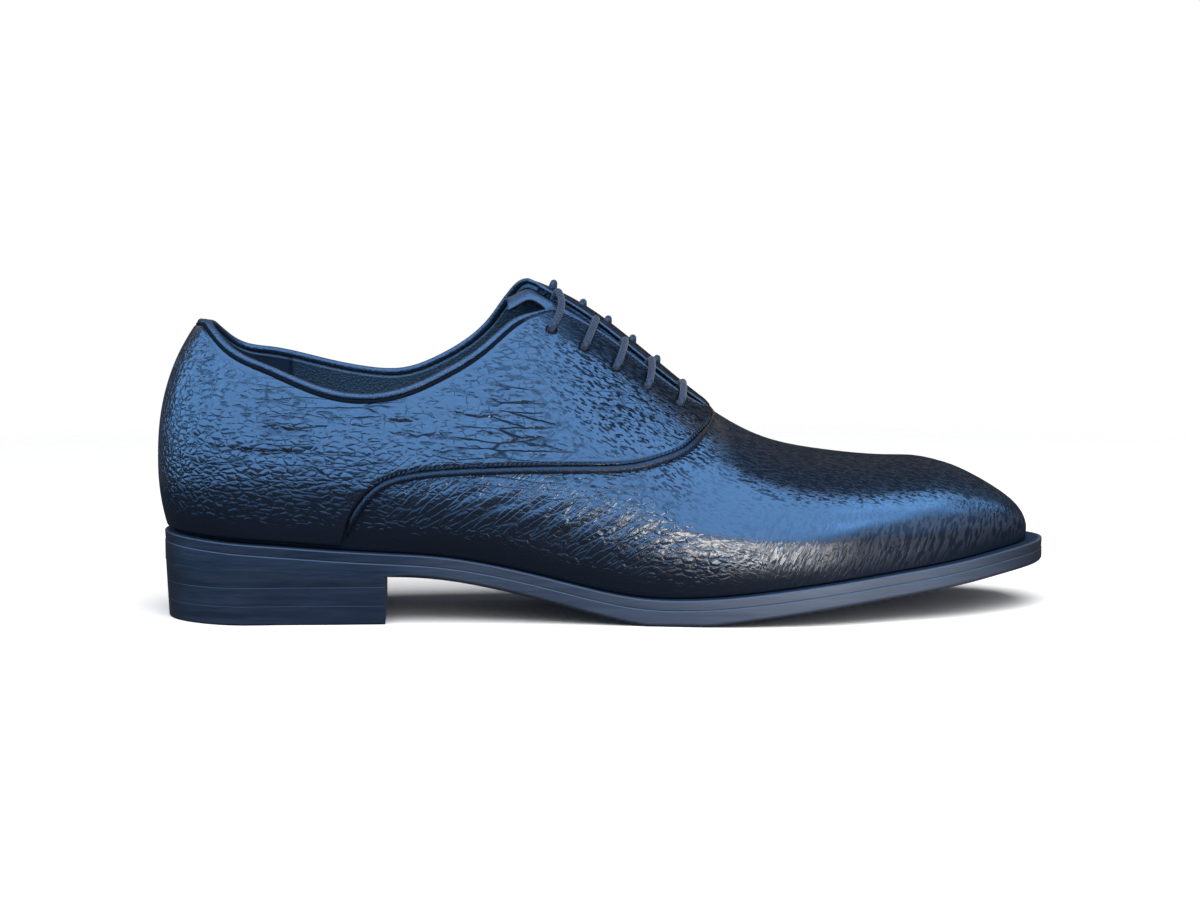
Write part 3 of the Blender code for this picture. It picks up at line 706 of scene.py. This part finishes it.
def makeLace(values):
    f = Finish("laceCord")
    uv = f.node("UVMap", {"uv_map": "grid"}, out="UV")
    along = f.node("SeparateXYZ", {}, {0: uv}, out="X") * (2 * math.pi * 17)
    around = f.node("SeparateXYZ", {}, {0: uv}, out="Y") * (2 * math.pi * 3)
    left = f.node("Math", {"operation": "SINE"}, {0: along + around})
    right = f.node("Math", {"operation": "SINE"}, {0: along - around})
    weave = 0.5 + 0.25 * (left + right)
    wear = f.noise(f.place(), 260.0, 3.0)
    edgeSheen = f.ease(weave + 0.5 * (wear - 0.5), 0.1, 0.9)
    colour = f.blend(edgeSheen, values["laceLow"], values["laceHigh"])
    return f.finish(colour, 0.55 + 0.15 * (1 - weave), weave, 0.00010, {"Sheen Weight": 0.15})


grainLeather = makeLeather(leather)
liningLeather = makeLining(lining)
facingEdge = makeCutEdge(plain)
rolledLeather = makeBead("rolledLeather", 0.85, plain)
pipedLeather = makeBead("pipedLeather", 0.36, plain)
seamThread = makeThread(plain)
shadowLineMatt = makeShadowLine(plain)
edgeFinish = makeSoleEdge(soleEdge)
laceCord = makeLace(plain)
print("finishes made")

# creases on the outer side: x and height of three points, width, depth
quarterCreases = (
    (74, 67.5, 82, 66.6, 91, 67.8, 1.3, 0.55),
    (96, 69.5, 106, 67.6, 121, 68.6, 1.3, 0.60),
    (106, 63.4, 113, 62.4, 120, 63.0, 1.2, 0.40),
    (100, 75.6, 111, 73.2, 124, 74.6, 1.4, 0.50),
    (78, 63.2, 88, 61.8, 97, 62.6, 1.2, 0.35),
    (30, 66.0, 44, 64.2, 60, 65.0, 1.3, 0.32),
    (22, 58.5, 38, 56.8, 56, 58.2, 1.3, 0.30),
    (126, 66.0, 140, 62.6, 152, 63.6, 1.4, 0.35),
    (132, 73.0, 144, 69.0, 158, 68.6, 1.4, 0.30),
)
vampCreases = (
    (96, 40.0, 104, 43.6, 112, 45.8, 1.3, 0.30),
    (104, 35.5, 113, 40.0, 124, 44.4, 1.4, 0.32),
    (113, 33.0, 122, 38.0, 132, 43.0, 1.4, 0.36),
    (121, 30.6, 131, 36.0, 142, 42.6, 1.4, 0.38),
    (131, 28.4, 142, 34.0, 153, 40.6, 1.4, 0.38),
    (141, 26.0, 151, 31.6, 162, 38.8, 1.4, 0.34),
    (150, 24.6, 160, 29.6, 170, 36.2, 1.4, 0.28),
    (160, 23.0, 169, 27.0, 179, 33.4, 1.4, 0.20),
)
# x, height on the outer wall under which it is painted dark as shade, and under which the toe's wall is painted dull
# grey as shade
darkShadeRows = (
    (0, 46.4), (40, 47.0), (62, 45.6), (75, 43.6), (89, 41.8), (103, 40.4), (114, 38.4), (125, 36.4),
    (139, 31.8), (153, 27.2), (167, 23.8), (181, 20.6), (197, 17.6), (218, 17.6), (243, 19.6), (265, 22.6),
    (285, 25.2), (303, 27.0),
)
shadeRows = (
    (196, 29.0), (221, 30.0), (230, 31.3), (243, 33.0), (257, 34.8), (266, 35.3), (275, 35.0), (286, 33.9),
    (303, 33.0),
)
darkShadeHeight, shadeHeight = spread(darkShadeRows, 1), spread(shadeRows, 1)


def grainMarks(points, normals, low):
    # where each kind of grain shows, and where shade is painted, from place and slope
    x, z = points[..., 0], points[..., 2]
    wave = 1.6 * ripple(points, 26.0, 5)
    slope = normals[..., 2] + 0.75 * normals[..., 0] ** 2 + 0.03 * ripple(points, 11.0, 6)
    nearSole = 0.9 * (1 - soft(4, 11, low + wave))
    vampSide = 0.85 * band(182, 262, 12, x) * band(29, 50, 5, z + wave) * (1 - soft(0.64, 0.76, slope))
    vamp = soft(184, 196, x)
    toFacing = z + 0.62 * (x - 150) - 74 + 0.5 * wave
    aboveDarkShade = z - darkShadeHeight(x) + wave
    quarterWall = (1 - soft(150, 178, x)) * band(48, 78, 8, z + wave) * soft(8, 24, x)
    outerSide = 1 - 0.7 * soft(0, 10, points[..., 1])
    return {
        "facingGrain": soft(116, 146, x) * soft(-30, -6, toFacing) * (1 - soft(186, 194, x)),
        "vampGrain": vamp,
        "toeGrain": soft(188, 206, x + wave) * (1 - soft(33, 42, z + wave)),
        "creaseGrain": quarterWall * (0.45 + 0.55 * band(70, 130, 18, x) * band(58, 76, 6, z)) * outerSide,
        "foldGrain": band(86, 158, 14, x) * band(-6, 11, 5, aboveDarkShade),
        "calm": np.maximum(nearSole, vampSide),
        # painted shade as well as denser grain on the facings and the tops
        "denseAndShaded": np.maximum(soft(8, 14, toFacing) * soft(124, 138, x) * (1 - soft(186, 194, x)),
                            soft(0.76, 0.83, slope) * (1 - 0.45 * soft(0.95, 1.08, slope)) * vamp),
        # painted shade: the toe's lower wall dull grey
        "shade": soft(200, 236, x) * (1 - soft(-2, 2.5, z - shadeHeight(x) + 0.6 * wave)),
        # painted shade: the tops darker, by slope, towards the toe
        "topShade": soft(0.74, 0.84, slope) * soft(160, 186, x),
        # painted shade: dark under the wall's turn
        "darkShade": 1 - soft(-4, 4, aboveDarkShade),
    }


def holesIn(bm, centres, radius):
    # punched holes: faces at each centre go, and the ring that is left is rounded
    for centre in centres:
        here = Vector(toFrame(centre))
        inside = [face for face in bm.faces if (face.calc_center_median() - here).length < radius * 0.001]
        bmesh.ops.delete(bm, geom=inside, context="FACES")
        for vert in [v for v in bm.verts if v.is_boundary and (v.co - here).length < 1.9 * radius * 0.001]:
            vert.co = here + (vert.co - here).normalized() * radius * 0.001


# lace: eyelet on the outer facing (x, inset), eyelet by the crest (x, distance past it)
lace = {
    "bars": ((132.2, 9.4, 133.4, -1.0), (143.1, 12.8, 143.8, -2.6), (153.6, 13.4, 152.4, -3.0),
             (164.1, 11.7, 160.9, -3.0), (175.3, 8.9, 169.4, -3.0)),
    # for each bar: how far its upper end leans to the toe, how it bows, how much of the way to the throat's far
    # side it shows, and how high it comes up again at the crest
    "lean": (2.4, 4.4, 3.6, 2.0, 1.8), "bow": (2.1, 0.4, 0.4, 0.4, 0.4), "shown": (1.0, 0.86, 0.88, 0.95, 1.05),
    "crest": (1.9, 0.5, 0.5, 0.5, 0.5),
    # its second run: how far over the crest, how far to the toe, and how high it ends
    "over": 11.5, "drift": 1.5, "end": 0.5,
    "tuck": 2.2, "dive": 3.6, "bend": 1.5, "radius": 1.25, "clear": 0.1, "sides": 14, "pitch": 0.3, "holeRadius": 1.75,
}


def walkAcross(u, vStart, length, samples=400):
    fine = np.linspace(lowShare, 2 - lowShare, samples)
    points = lastPoint(u, fine)
    walked = walkedAlong(points)
    return np.interp(np.interp(vStart, fine, walked) + length, walked, fine)


def inFrom(u, v, offset):
    # v moved by a length along its section
    return np.array([walkAcross(a, b, offset) for a, b in zip(u, v)])


def eyeletPairs(values):
    pairs = []
    for xOut, inset, xIn, past in values["bars"]:
        uOut, uIn = placeOfX(xOut), placeOfX(xIn)
        pairs.append(((xOut, walkAcross(uOut, outerEdge(uOut)[0], -inset)), (xIn, walkAcross(uIn, 1.0, past))))
    return pairs


eyelets = eyeletPairs(lace)


def eyeletCentres(side, lift):
    places = [pair[side] for pair in eyelets]
    u = placeOfX([x for x, _ in places])
    v = np.array([v for _, v in places])
    return raised(u, v, lift)[0]


upper = {
    "stops": ((20, 14), (seamFootX, 24), (cornerX, 100), (panelEndX, 100), (throatEndX, 4), (250, 46), (None, 60)),
    "rows": 60, "edge": (0, 0.5, 1.2), "wall": 1.6, "swell": 0.10, "swellSize": 34.0,
}


def addUpper(values):
    u = columnsTo(values["stops"])
    bm = bmesh.new()
    for foot, edge in ((0.0, outerEdge), (2.0, innerEdge)):
        v, low, top = stepsAcross(u, np.full(u.shape, foot), edge(u), values["edge"], values["rows"])
        points, normals = raised(u[:, None], v, 0.0)
        marks = grainMarks(points, normals, low)
        swell = values["swell"] * ripple(points, values["swellSize"], 11)
        lift = swell * soft(4, 14, low) * soft(0, 6, top + 20 * (points[..., 0] > 195))
        if foot == 0:
            lift = lift + sum(crease(points, row) for row in vampCreases)
        gridInto(bm, points + normals * lift[..., None], marks, flip=foot > 0)
    holesIn(bm, np.concatenate([eyeletCentres(0, 0), eyeletCentres(1, 0)]), lace["holeRadius"] + 0.3)
    materials = (grainLeather, liningLeather, liningLeather)
    piece = addPiece("upperShell", bm, materials, ("upper",), 2e-5)
    addWall(piece, values["wall"])


addUpper(upper)

quarter = {
    "stops": ((12, 40), (seamFootX, 62), (cornerX, 84), (panelEndX, 84)), "rows": 74, "firstPlace": 0.0008,
    "edge": (0, 0.12, 0.35, 0.7, 1.1, 1.5, 2.0, 2.6), "roll": 1.1, "swell": 0.16, "swellSize": 30.0,
    "grooveAt": 0.65, "grooveWidth": 0.65, "grooveDepth": 0.75,
    "stitchAt": 0.75, "stitchWidth": 0.6, "stitchDepth": 0.30,
}


def addQuarter(name, node, foot, edge, seam, values):
    u = np.maximum(columnsTo(values["stops"]), values["firstPlace"])
    v, low, top = stepsAcross(u, panelStart(u, foot, seam), edge(u), values["edge"], values["rows"])
    points, normals = raised(u[:, None], v, 0.0)
    marks = grainMarks(points, normals, low + 30 * (points[..., 0] > seamFootX))
    x = points[..., 0]
    collar = 1 - soft(cornerX - 3, cornerX, x)
    lapped = soft(seamFootX - 4, seamFootX + 2, x)
    roll = values["roll"]
    lift = np.full(x.shape, face)
    for off in (low, top):
        short = np.clip(1 - off / roll, 0, 1)
        lift = lift - 0.75 * roll * (1 - np.sqrt(1 - short**2))
    groove = np.exp(-(((top - values["grooveAt"]) / values["grooveWidth"]) ** 2))
    lift = lift - values["grooveDepth"] * groove * (0.35 + 0.65 * collar)
    stitched = np.exp(-(((low - values["stitchAt"]) / values["stitchWidth"]) ** 2)) * lapped
    lift = lift - values["stitchDepth"] * stitched
    # painted shade along the stitch line's recess
    marks["darkShade"] = np.maximum(marks["darkShade"], stitched)
    swell = values["swell"] * ripple(points, values["swellSize"], 21)
    lift = lift + swell * soft(3, 12, low) * soft(3, 12, top)
    if foot == 0:
        lift = lift + sum(crease(points, row) for row in quarterCreases)
    # painted shade in the groove under the topline
    marks["darkShade"] = np.maximum(marks["darkShade"], groove * (0.25 + 0.75 * collar))
    smooth = 1 - soft(1 + collar, 2.5 + 3.5 * collar, top)
    marks["calm"] = np.maximum(marks["calm"], np.maximum(smooth, lapped * (1 - soft(1.5, 3, low))))
    bm = gridInto(bmesh.new(), points + normals * lift[..., None], marks, flip=foot > 0)
    side = 0 if foot == 0 else 1
    holesIn(bm, eyeletCentres(side, face), lace["holeRadius"])
    piece = addPiece(name, bm, (grainLeather, liningLeather, facingEdge), (node,), 0)
    addWall(piece, panelThick)


addQuarter("quarterOuter", "quarter_lateral", 0.0, outerEdge, outerSeam, quarter)
addQuarter("quarterInner", "quarter_medial", 2.0, innerEdge, innerSeam, quarter)


def beside(route, lift, clear):
    # points lifted off the last along (u, v), moved to the right-hand side of the way
    u, v = route
    surface = lastPoint(u, v)
    normals = lastNormal(u, v)
    ahead = unit(np.gradient(surface, axis=0))
    return surface + normals * lift - unit(np.cross(normals, ahead)) * clear, normals


# the seam bead is painted dark, as shade, to at least the last share
beads = {"seamRadius": 1.15, "collarRadius": 1.2, "bindRadius": 0.55, "sides": 14, "flatten": 0.45, "seamShade": 0.72}


def addBead(name, node, material, path, radius, shadeLimits, sides):
    points, normals = path
    rings = tube(points, radius * roundEnds(len(points), 1.0), sides, normals)
    marks = grainMarks(points, normals, np.full(points.shape[:-1], 30.0))
    marks = {key: np.repeat(marks[key][:, None], sides + 1, axis=1) for key in ("darkShade", "topShade")}
    # painted shade on the bead, held between the given limits
    marks["darkShade"] = np.clip(marks["darkShade"], *shadeLimits)
    addPiece(name, gridInto(bmesh.new(), rings, marks, flip=True), (material,), (node,))


def addSeamBead(values):
    # up the outer seam, over the crest at the throat, where it flattens, and down the inner seam
    start, turn, front = placeOfX((seamFootX + 1.0, seamTurnX, throatEndX))
    out = np.concatenate([np.linspace(start, turn, 150), np.linspace(turn, front, 40)[1:]])
    back = out[::-1][1:]
    u, v = np.concatenate([out, back]), np.concatenate([outerSeam(out), innerSeam(back)])
    flat = soft(179, 187, lastCurves["x"](u))
    radius = values["seamRadius"] * (1 - values["flatten"] * flat)
    path = beside((u, v), (radius * (1 - 0.5 * flat) + 0.1)[:, None], (radius + 0.15)[:, None])
    addBead("seamBead", "seam_bead", pipedLeather, path, radius, (values["seamShade"], 1), values["sides"])


def addCollarBead(values):
    # full on the topline, then a thin binding down both facings
    out = columnsTo(((20, 60), (cornerX - 4, 130), (cornerX + 4, 50), (panelEndX, 90)))
    u, v = np.concatenate([out[::-1], out[1:]]), np.concatenate([outerEdge(out[::-1]), innerEdge(out[1:])])
    thin = soft(cornerX - 6, cornerX + 4, lastCurves["x"](u))
    radius = values["collarRadius"] + (values["bindRadius"] - values["collarRadius"]) * thin
    back = 1 - soft(14, 40, lastPoint(u, v)[:, 0])
    lift = 0.4 + 0.2 * back + (face - 0.5 - 0.4) * thin
    points, normals = beside((u, v), lift[:, None], (radius + 0.1 - 0.45 * thin - 0.7 * back)[:, None])
    for _ in range(4):
        points[1:-1] = (points[:-2] + 2 * points[1:-1] + points[2:]) / 4
    addBead("collarBead", "collar_bead", rolledLeather, (points, normals), radius, (0, 0), values["sides"])


addSeamBead(beads)
addCollarBead(beads)

# a near-black matt cord that fills the groove under the topline's bead, as a painted shadow line
collarShadowLine = {"radius": 0.6, "sides": 8, "sink": 0.55}


def addCollarShadowLine(values):
    u = columnsTo(((20, 60), (cornerX - 2, 150)))
    bm = bmesh.new()
    for edge, sign in ((outerEdge, -1), (innerEdge, 1)):
        points, normals = raised(u, inFrom(u, edge(u), sign * quarter["grooveAt"]), face - values["sink"])
        gridInto(bm, tube(points, roundEnds(len(points), values["radius"]), values["sides"], normals), flip=True)
    addPiece("collarShadowLine", bm, (shadowLineMatt,))


stitches = {
    "pitch": 1.6, "long": 0.72, "wide": 0.30, "high": 0.34, "lean": 38.0, "sink": 0.2,
    "fromSeam": 0.75, "fromFacing": (1.5, 3.0),
}


def stitchRow(bm, points, normals, values):
    path = evenly(points, values["pitch"])
    near = np.argmin(np.linalg.norm(points[None] - path[:, None], axis=2), axis=1)
    up = normals[near]
    ahead = unit(np.gradient(path, axis=0))
    side = unit(np.cross(up, ahead))
    for k in range(1, len(path) - 1):
        turn = Matrix((ahead[k], side[k], np.cross(ahead[k], side[k]))).transposed().to_4x4()
        turn = turn @ Matrix.Rotation(math.radians(values["lean"]), 4, "Z")
        turn.translation = Vector(toFrame(path[k]))
        size = [s * 0.001 for s in (values["long"], values["wide"], values["high"])]
        bmesh.ops.create_uvsphere(bm, u_segments=6, v_segments=4, radius=1.0,
                                  matrix=turn @ Matrix.Diagonal((*size, 1)))


def addStitches(values):
    bm = bmesh.new()
    seam = np.linspace(placeOfX(seamFootX + 3)[0], placeOfX(panelEndX - 1)[0], 130)
    facing = np.linspace(placeOfX(cornerX + 2)[0], placeOfX(panelEndX - 3)[0], 90)
    rows = [(seam, outerSeam, values["fromSeam"]), (seam, innerSeam, -values["fromSeam"])]
    rows = rows + [(facing, outerEdge, -offset) for offset in values["fromFacing"]]
    for u, edge, offset in rows:
        points, normals = raised(u, inFrom(u, edge(u), offset), face - values["sink"])
        stitchRow(bm, points, normals, values)
    addPiece("seamStitches", bm, (seamThread,), (), 0)


addCollarShadowLine(collarShadowLine)
addStitches(stitches)

tongue = {
    "topX": 118.5, "rootX": 199.0, "outerHalf": 13.0, "endShare": 0.25, "innerHalf": 9.0, "thick": 1.4, "bend": 6.5,
    # share of the way across the throat from the outer facing, depth under the last: it swells up in the throat
    "sink": ((-3.0, 4.4), (-1.0, 4.3), (0.0, 3.8), (0.35, 1.6), (0.6, 0.5), (0.85, 0.9), (1.1, 2.3), (2.0, 2.6),
             (6.0, 2.6)),
    "rootSink": 2.2,
}


def addTongue(values):
    u = placeOfX(np.linspace(values["topX"], values["rootX"], 90))
    x = lastCurves["x"](u)
    reach = np.where(x < throatEndX, throatMiddle(x), vampMiddle(x))
    middle = outerAtReach(u, reach)
    half = np.maximum(throatWidth(x) / 2, 1.6)
    # the free end is cut back on the near side and bends down
    end = values["endShare"] * half
    outer = end + (values["outerHalf"] - end) * soft(128, 152, x)
    across = -outer[:, None] + (outer + values["innerHalf"])[:, None] * np.linspace(0, 1, 40)
    v = np.array([walkAcross(a, b, c) for a, b, c in zip(u, middle, across)])
    sink = spread(values["sink"], 1)((across / half[:, None] + 1) / 2)
    sink = sink + values["rootSink"] * soft(176, 185, x)[:, None]
    points, _ = raised(u[:, None], v, -sink[..., None])
    points[..., 2] -= values["bend"] * (1 - soft(values["topX"] - 2, 128, x))[:, None]
    marks = {key: np.zeros(across.shape) for key in ("darkShade", "topShade")}
    bm = gridInto(bmesh.new(), points, marks)
    materials = (rolledLeather, liningLeather, facingEdge)
    piece = addPiece("tongueLeaf", bm, materials, ("tongue",))
    addWall(piece, values["thick"])


addTongue(tongue)


def layCord(bm, values, u, v, lift, dives):
    # a cord over the leather that bends down at both ends
    normals = lastNormal(u, v)
    surface = lastPoint(u, v)
    walked = walkedAlong(surface)
    short = np.clip(1 - np.minimum(walked, walked[-1] - walked) / values["bend"], 0, 1)
    lift = lift + face - values["bend"] * (1 - np.sqrt(1 - short**2))
    points = surface + normals * lift[:, None]
    down = np.linspace(1, 0, 7)[:-1, None]
    first = points[0] - normals[0] * down * dives[0]
    last = points[-1] - normals[-1] * down[::-1] * dives[1]
    points = np.concatenate([first, points, last])
    side = unit(np.cross(normals[len(u) // 2], surface[-1] - surface[0]))
    points = evenly(points, values["pitch"])
    ahead = unit(np.gradient(points, axis=0))
    rings = tube(points, roundEnds(len(points), values["radius"]), values["sides"], np.cross(ahead, side))
    gridInto(bm, rings, flip=True)


def addLace(values):
    share = np.linspace(0, 1, 60)
    for k in range(len(eyelets)):
        bm = bmesh.new()
        # from the outer eyelet to the throat's far side, where it goes under
        x, v = eyelets[k][0]
        u = placeOfX(x + values["lean"][k] * share + values["bow"][k] * 4 * share * (1 - share))
        v = v + (outerAtReach(u, throatHalf(u, -1)) - v) * share * values["shown"][k]
        layCord(bm, values, u, v, values["radius"] + values["clear"], (values["dive"], values["tuck"]))
        # from the eyelet by the crest over to the inner facing
        x, v = eyelets[k][1]
        u = placeOfX(x + values["drift"] * share)
        v = v + (walkAcross(u[-1:], 1.0, values["over"]) - v) * share
        lift = values["crest"][k] + (values["end"] - values["crest"][k]) * share
        layCord(bm, values, u, v, lift, (values["tuck"], values["tuck"]))
        addPiece(f"laceBar{k + 1}", bm, (laceCord,), (f"lace_bar_{k + 1}",))


addLace(lace)

sole = {
    "midsole": 3.2, "insole": 2.4, "insoleIn": 2.6, "heelEndX": 77.0, "heelInset": 0.15, "seam": 0.03,
    "lifts": (12.7, 6.4), "taper": (0.0, 0.3, 0.6, 0.9), "sharp": 40.0,
    # x, how far a painted sheen makes the edge pale
    "edgeSheen": ((0, 0.0), (75, 0.02), (95, 0.28), (130, 0.34), (160, 0.55), (200, 0.85), (270, 0.95), (292, 0.5),
             (310, 0.15)),
}
edgeSheenAt = spread(sole["edgeSheen"], 1)


def plateInto(bm, u, inset, profile, top, under, heelFlat=False):
    # ring of points round a plate: profile rows are (inset, drop from the top, rise from the underside, mark)
    halves = []
    ahead = soft(sole["heelEndX"] - 2, sole["heelEndX"] + 8, lastCurves["x"](u))
    for side, key in ((-1, "featherOut"), (1, "featherIn")):
        half = []
        for step, drop, rise, _ in profile:
            share = 0.1 + 0.9 * ahead if heelFlat and rise is not None else 1.0
            reach = lastCurves[key](u) + lastCurves["welt"](u) - inset - step * share
            x, y = planPoint(u, side, reach)
            height = top(x) - drop if rise is None else under(x) + rise * share
            half.append(np.stack([x, y, height], axis=-1))
        halves.append(np.stack(half, axis=1))
    ring = np.concatenate([halves[0], halves[1][:, ::-1], halves[0][:, :1]], axis=1)
    kinds = [row[3] for row in profile]
    kinds = kinds + kinds[::-1] + kinds[:1]
    marks = {kind: np.broadcast_to([float(k == kind) for k in kinds], ring.shape[:2])
             for kind in ("channelAndShade", "rim")}
    marks["edgeSheen"] = edgeSheenAt(ring[..., 0])
    return gridInto(bm, ring, marks)


def rounded(radius, under, topInset=0.0, underInset=0.0, hold=0.06):
    # profile of an edge with both corners rounded, and a row beside each that keeps the wall flat
    turn = np.linspace(math.pi / 2, 0, 5)
    rows = [(topInset + radius * (1 - math.cos(a)), radius * (1 - math.sin(a)), None, "rim") for a in turn]
    rows = rows + [(topInset, radius + hold, None, ""), (underInset, 0.0, under + hold, "")]
    turn = np.linspace(0, math.pi / 2, 5)
    return rows + [(underInset + under * (1 - math.cos(a)), 0.0, under * (1 - math.sin(a)), "") for a in turn]


def addSole(values):
    whole = np.linspace(0, 1, 241)
    heel = np.linspace(0, placeOfX(values["heelEndX"])[0], 90)
    seam, taper = values["seam"], values["taper"]
    liftUpper, liftLower = values["lifts"]
    heelInset = values["heelInset"]
    footbed = lastCurves["welt"](whole) + values["insoleIn"]

    def midUnder(x):
        return soleTop(x) - values["midsole"]

    def level(height):
        return lambda x: np.full(x.shape, height)

    # the channel rows by the upper's foot: a channel, painted black as the shade at the join
    channelAndShade = [(3.0, 0.0, None, "channelAndShade"), (1.7, 0.0, None, "channelAndShade")]
    plates = (
        ("midsolePlate", "midsole", whole, 0.0, soleTop, midUnder,
         channelAndShade + rounded(0.4, 0.12, 0.0, 0.12), edgeFinish, "sole_edge"),
        ("outsolePlate", "outsole", whole, 0.0, lambda x: midUnder(x) - seam, soleUnder,
         rounded(0.45, 1.2), edgeFinish, "sole_edge"),
        ("heelLiftUpper", "heel_lift_upper", heel, heelInset, lambda x: soleUnder(x) - seam,
         level(liftUpper), rounded(0.08, 0.06, taper[0], taper[1]), edgeFinish, "sole_edge"),
        ("heelLiftLower", "heel_lift_lower", heel, heelInset, level(liftUpper - seam),
         level(liftLower), rounded(0.14, 0.06, taper[1], taper[2]), edgeFinish, "sole_edge"),
        ("heelTopPiece", "heel_top_piece", heel, heelInset, level(liftLower - seam),
         level(0.0), rounded(0.10, 0.5, taper[2], taper[3]), edgeFinish, "tread_rubber"),
        ("insolePad", "insole", whole, footbed, lambda x: soleTop(x) + gap + values["insole"],
         lambda x: soleTop(x) + gap, rounded(0.8, 0.3), liningLeather, "lining_leather"),
    )
    for name, node, u, inset, top, under, profile, material, slot in plates:
        bm = plateInto(bmesh.new(), u, inset, profile, top, under, node == "outsole")
        bmesh.ops.remove_doubles(bm, verts=bm.verts, dist=2e-6)
        rim = [edge for edge in bm.edges if edge.is_boundary]
        if rim:
            bmesh.ops.holes_fill(bm, edges=rim, sides=0)
        bmesh.ops.recalc_face_normals(bm, faces=bm.faces)
        piece = addPiece(name, bm, (material,), (node,))
        piece.data.set_sharp_from_angle(angle=math.radians(values["sharp"]))


addSole(sole)

stageFloor = bpy.data.collections.new("stageFloor")
toePieces = bpy.data.collections.new("toePieces")
toePieces.objects.link(bpy.data.objects["upperShell"])
skyBlue = (0.175, 0.47, 1.0)
white = (1.0, 1.0, 1.0)
# studio: pale floor, blue sky panels on the camera's side, a low white one before the ball, white fill
studio = {
    "floor": 1.2, "pale": (0.92, 0.92, 0.92, 1), "fade": (0.45, 0.95), "radiance": 4.15,
    "world": (0.25, 0.28, 0.33, 1), "worldPower": 0.30,
    # name, place, target, size
    "skyPanels": (
        ("skyLow", (0.0, -1.6, 0.62), (0.0, 0.0, 0.62), (3.8, 1.24)),
        ("skyMiddle", (0.0, -1.2, 1.62), (0.0, 0.0, 0.05), (3.8, 1.10)),
        ("skyHigh", (0.0, -0.25, 2.10), (0.0, 0.0, 0.05), (3.8, 1.12)),
        ("skyHeel", (-1.9, -0.4, 0.95), (0.0, -0.4, 0.95), (2.4, 1.90)),
        ("skyToe", (1.9, -1.0, 0.85), (0.1, 0.0, 0.04), (1.5, 1.40)),
    ),
    # name, place, target, size, watts, colour, whether it shows in gloss and on matt, what it shines on
    "lamps": (
        ("skyFront", (1.52, 0.15, 1.40), (0.11, -0.02, 0.04), (1.5, 1.2), 14.0, skyBlue, True, False, toePieces),
        ("warmBack", (0.0, 1.7, 1.25), (0, 0, 0.05), (4.0, 0.9), 4.0, (1.0, 0.84, 0.72), True, False, shoePieces),
        ("groundGlow", (0.085, -0.14, 0.004), (0.085, -0.135, 0.1), (0.19, 0.05), 0.38, (1.0, 0.97, 0.93),
         True, True, shoePieces),
        ("floorTop", (0.0, -0.9, 2.1), (0, 0, 0), (2.6, 2.6), 110.0, white, False, True, stageFloor),
        ("floorFront", (0.5, -1.8, 0.9), (0.1, 0, 0), (2.4, 1.2), 19.0, white, False, True, stageFloor),
        ("topFill", (0.0, -0.9, 2.1), (0, 0, 0), (2.6, 2.6), 80.0, (1.0, 0.98, 0.96), False, True, shoePieces),
        ("frontFill", (-0.2, -1.6, 0.9), (0, 0, 0.05), (3.0, 1.6), 18.0, (0.86, 0.93, 1.0), False, True, shoePieces),
        ("rearFill", (0.2, 1.6, 0.8), (0, 0, 0.05), (2.4, 1.2), 48.0, (0.8, 0.9, 1.0), False, True, shoePieces),
    ),
}


def addFloor(values):
    bm = bmesh.new()
    bmesh.ops.create_grid(bm, x_segments=8, y_segments=8, size=values["floor"])
    mesh = bpy.data.meshes.new("studioFloor")
    bm.to_mesh(mesh)
    bm.free()
    f = Finish("studioFloor")
    length = f.node("VectorMath", {"operation": "LENGTH"}, {0: f.place()}, out="Value")
    faded = 1 - f.ease(length, *values["fade"])
    f.feed(f.shader, {"Base Color": values["pale"], "Roughness": 0.9, "Alpha": faded})
    mesh.materials.append(f.owner)
    floor = bpy.data.objects.new("studioFloor", mesh)
    scene.collection.objects.link(floor)
    stageFloor.objects.link(floor)
    floor.visible_glossy = False
    floor.visible_diffuse = False


def addPanel(name, place, target, size, power, colour, glossy, diffuse, shinesOn):
    lamp = bpy.data.lights.new(name, "AREA")
    lamp.shape = "RECTANGLE"
    lamp.size, lamp.size_y = size
    lamp.energy = power
    lamp.color = colour
    panel = bpy.data.objects.new(name, lamp)
    panel.location = place
    panel.rotation_euler = (Vector(target) - Vector(place)).to_track_quat("-Z", "Y").to_euler()
    panel.visible_camera = False
    panel.visible_glossy = glossy
    panel.visible_diffuse = diffuse
    panel.light_linking.receiver_collection = shinesOn
    scene.collection.objects.link(panel)


def addWorld(values):
    # white behind the shoe, dim and bluish where it lights
    f = Finish("studio", bpy.data.worlds)
    dim = f.node("Background", {}, {"Color": values["world"], "Strength": values["worldPower"]})
    sheet = f.node("Background", {}, {"Color": (*white, 1), "Strength": 1.0})
    seen = f.node("LightPath", out="Is Camera Ray")
    f.show(f.node("MixShader", {}, {0: seen, 1: dim, 2: sheet}), "World Output")
    scene.world = f.owner


addFloor(studio)
addWorld(studio)
for name, place, target, size in studio["skyPanels"]:
    power = studio["radiance"] * math.pi * size[0] * size[1]
    addPanel(name, place, target, size, power, skyBlue, True, False, shoePieces)
for lamp in studio["lamps"]:
    addPanel(*lamp)
scene.view_settings.view_transform = "Standard"
print("studio lit")
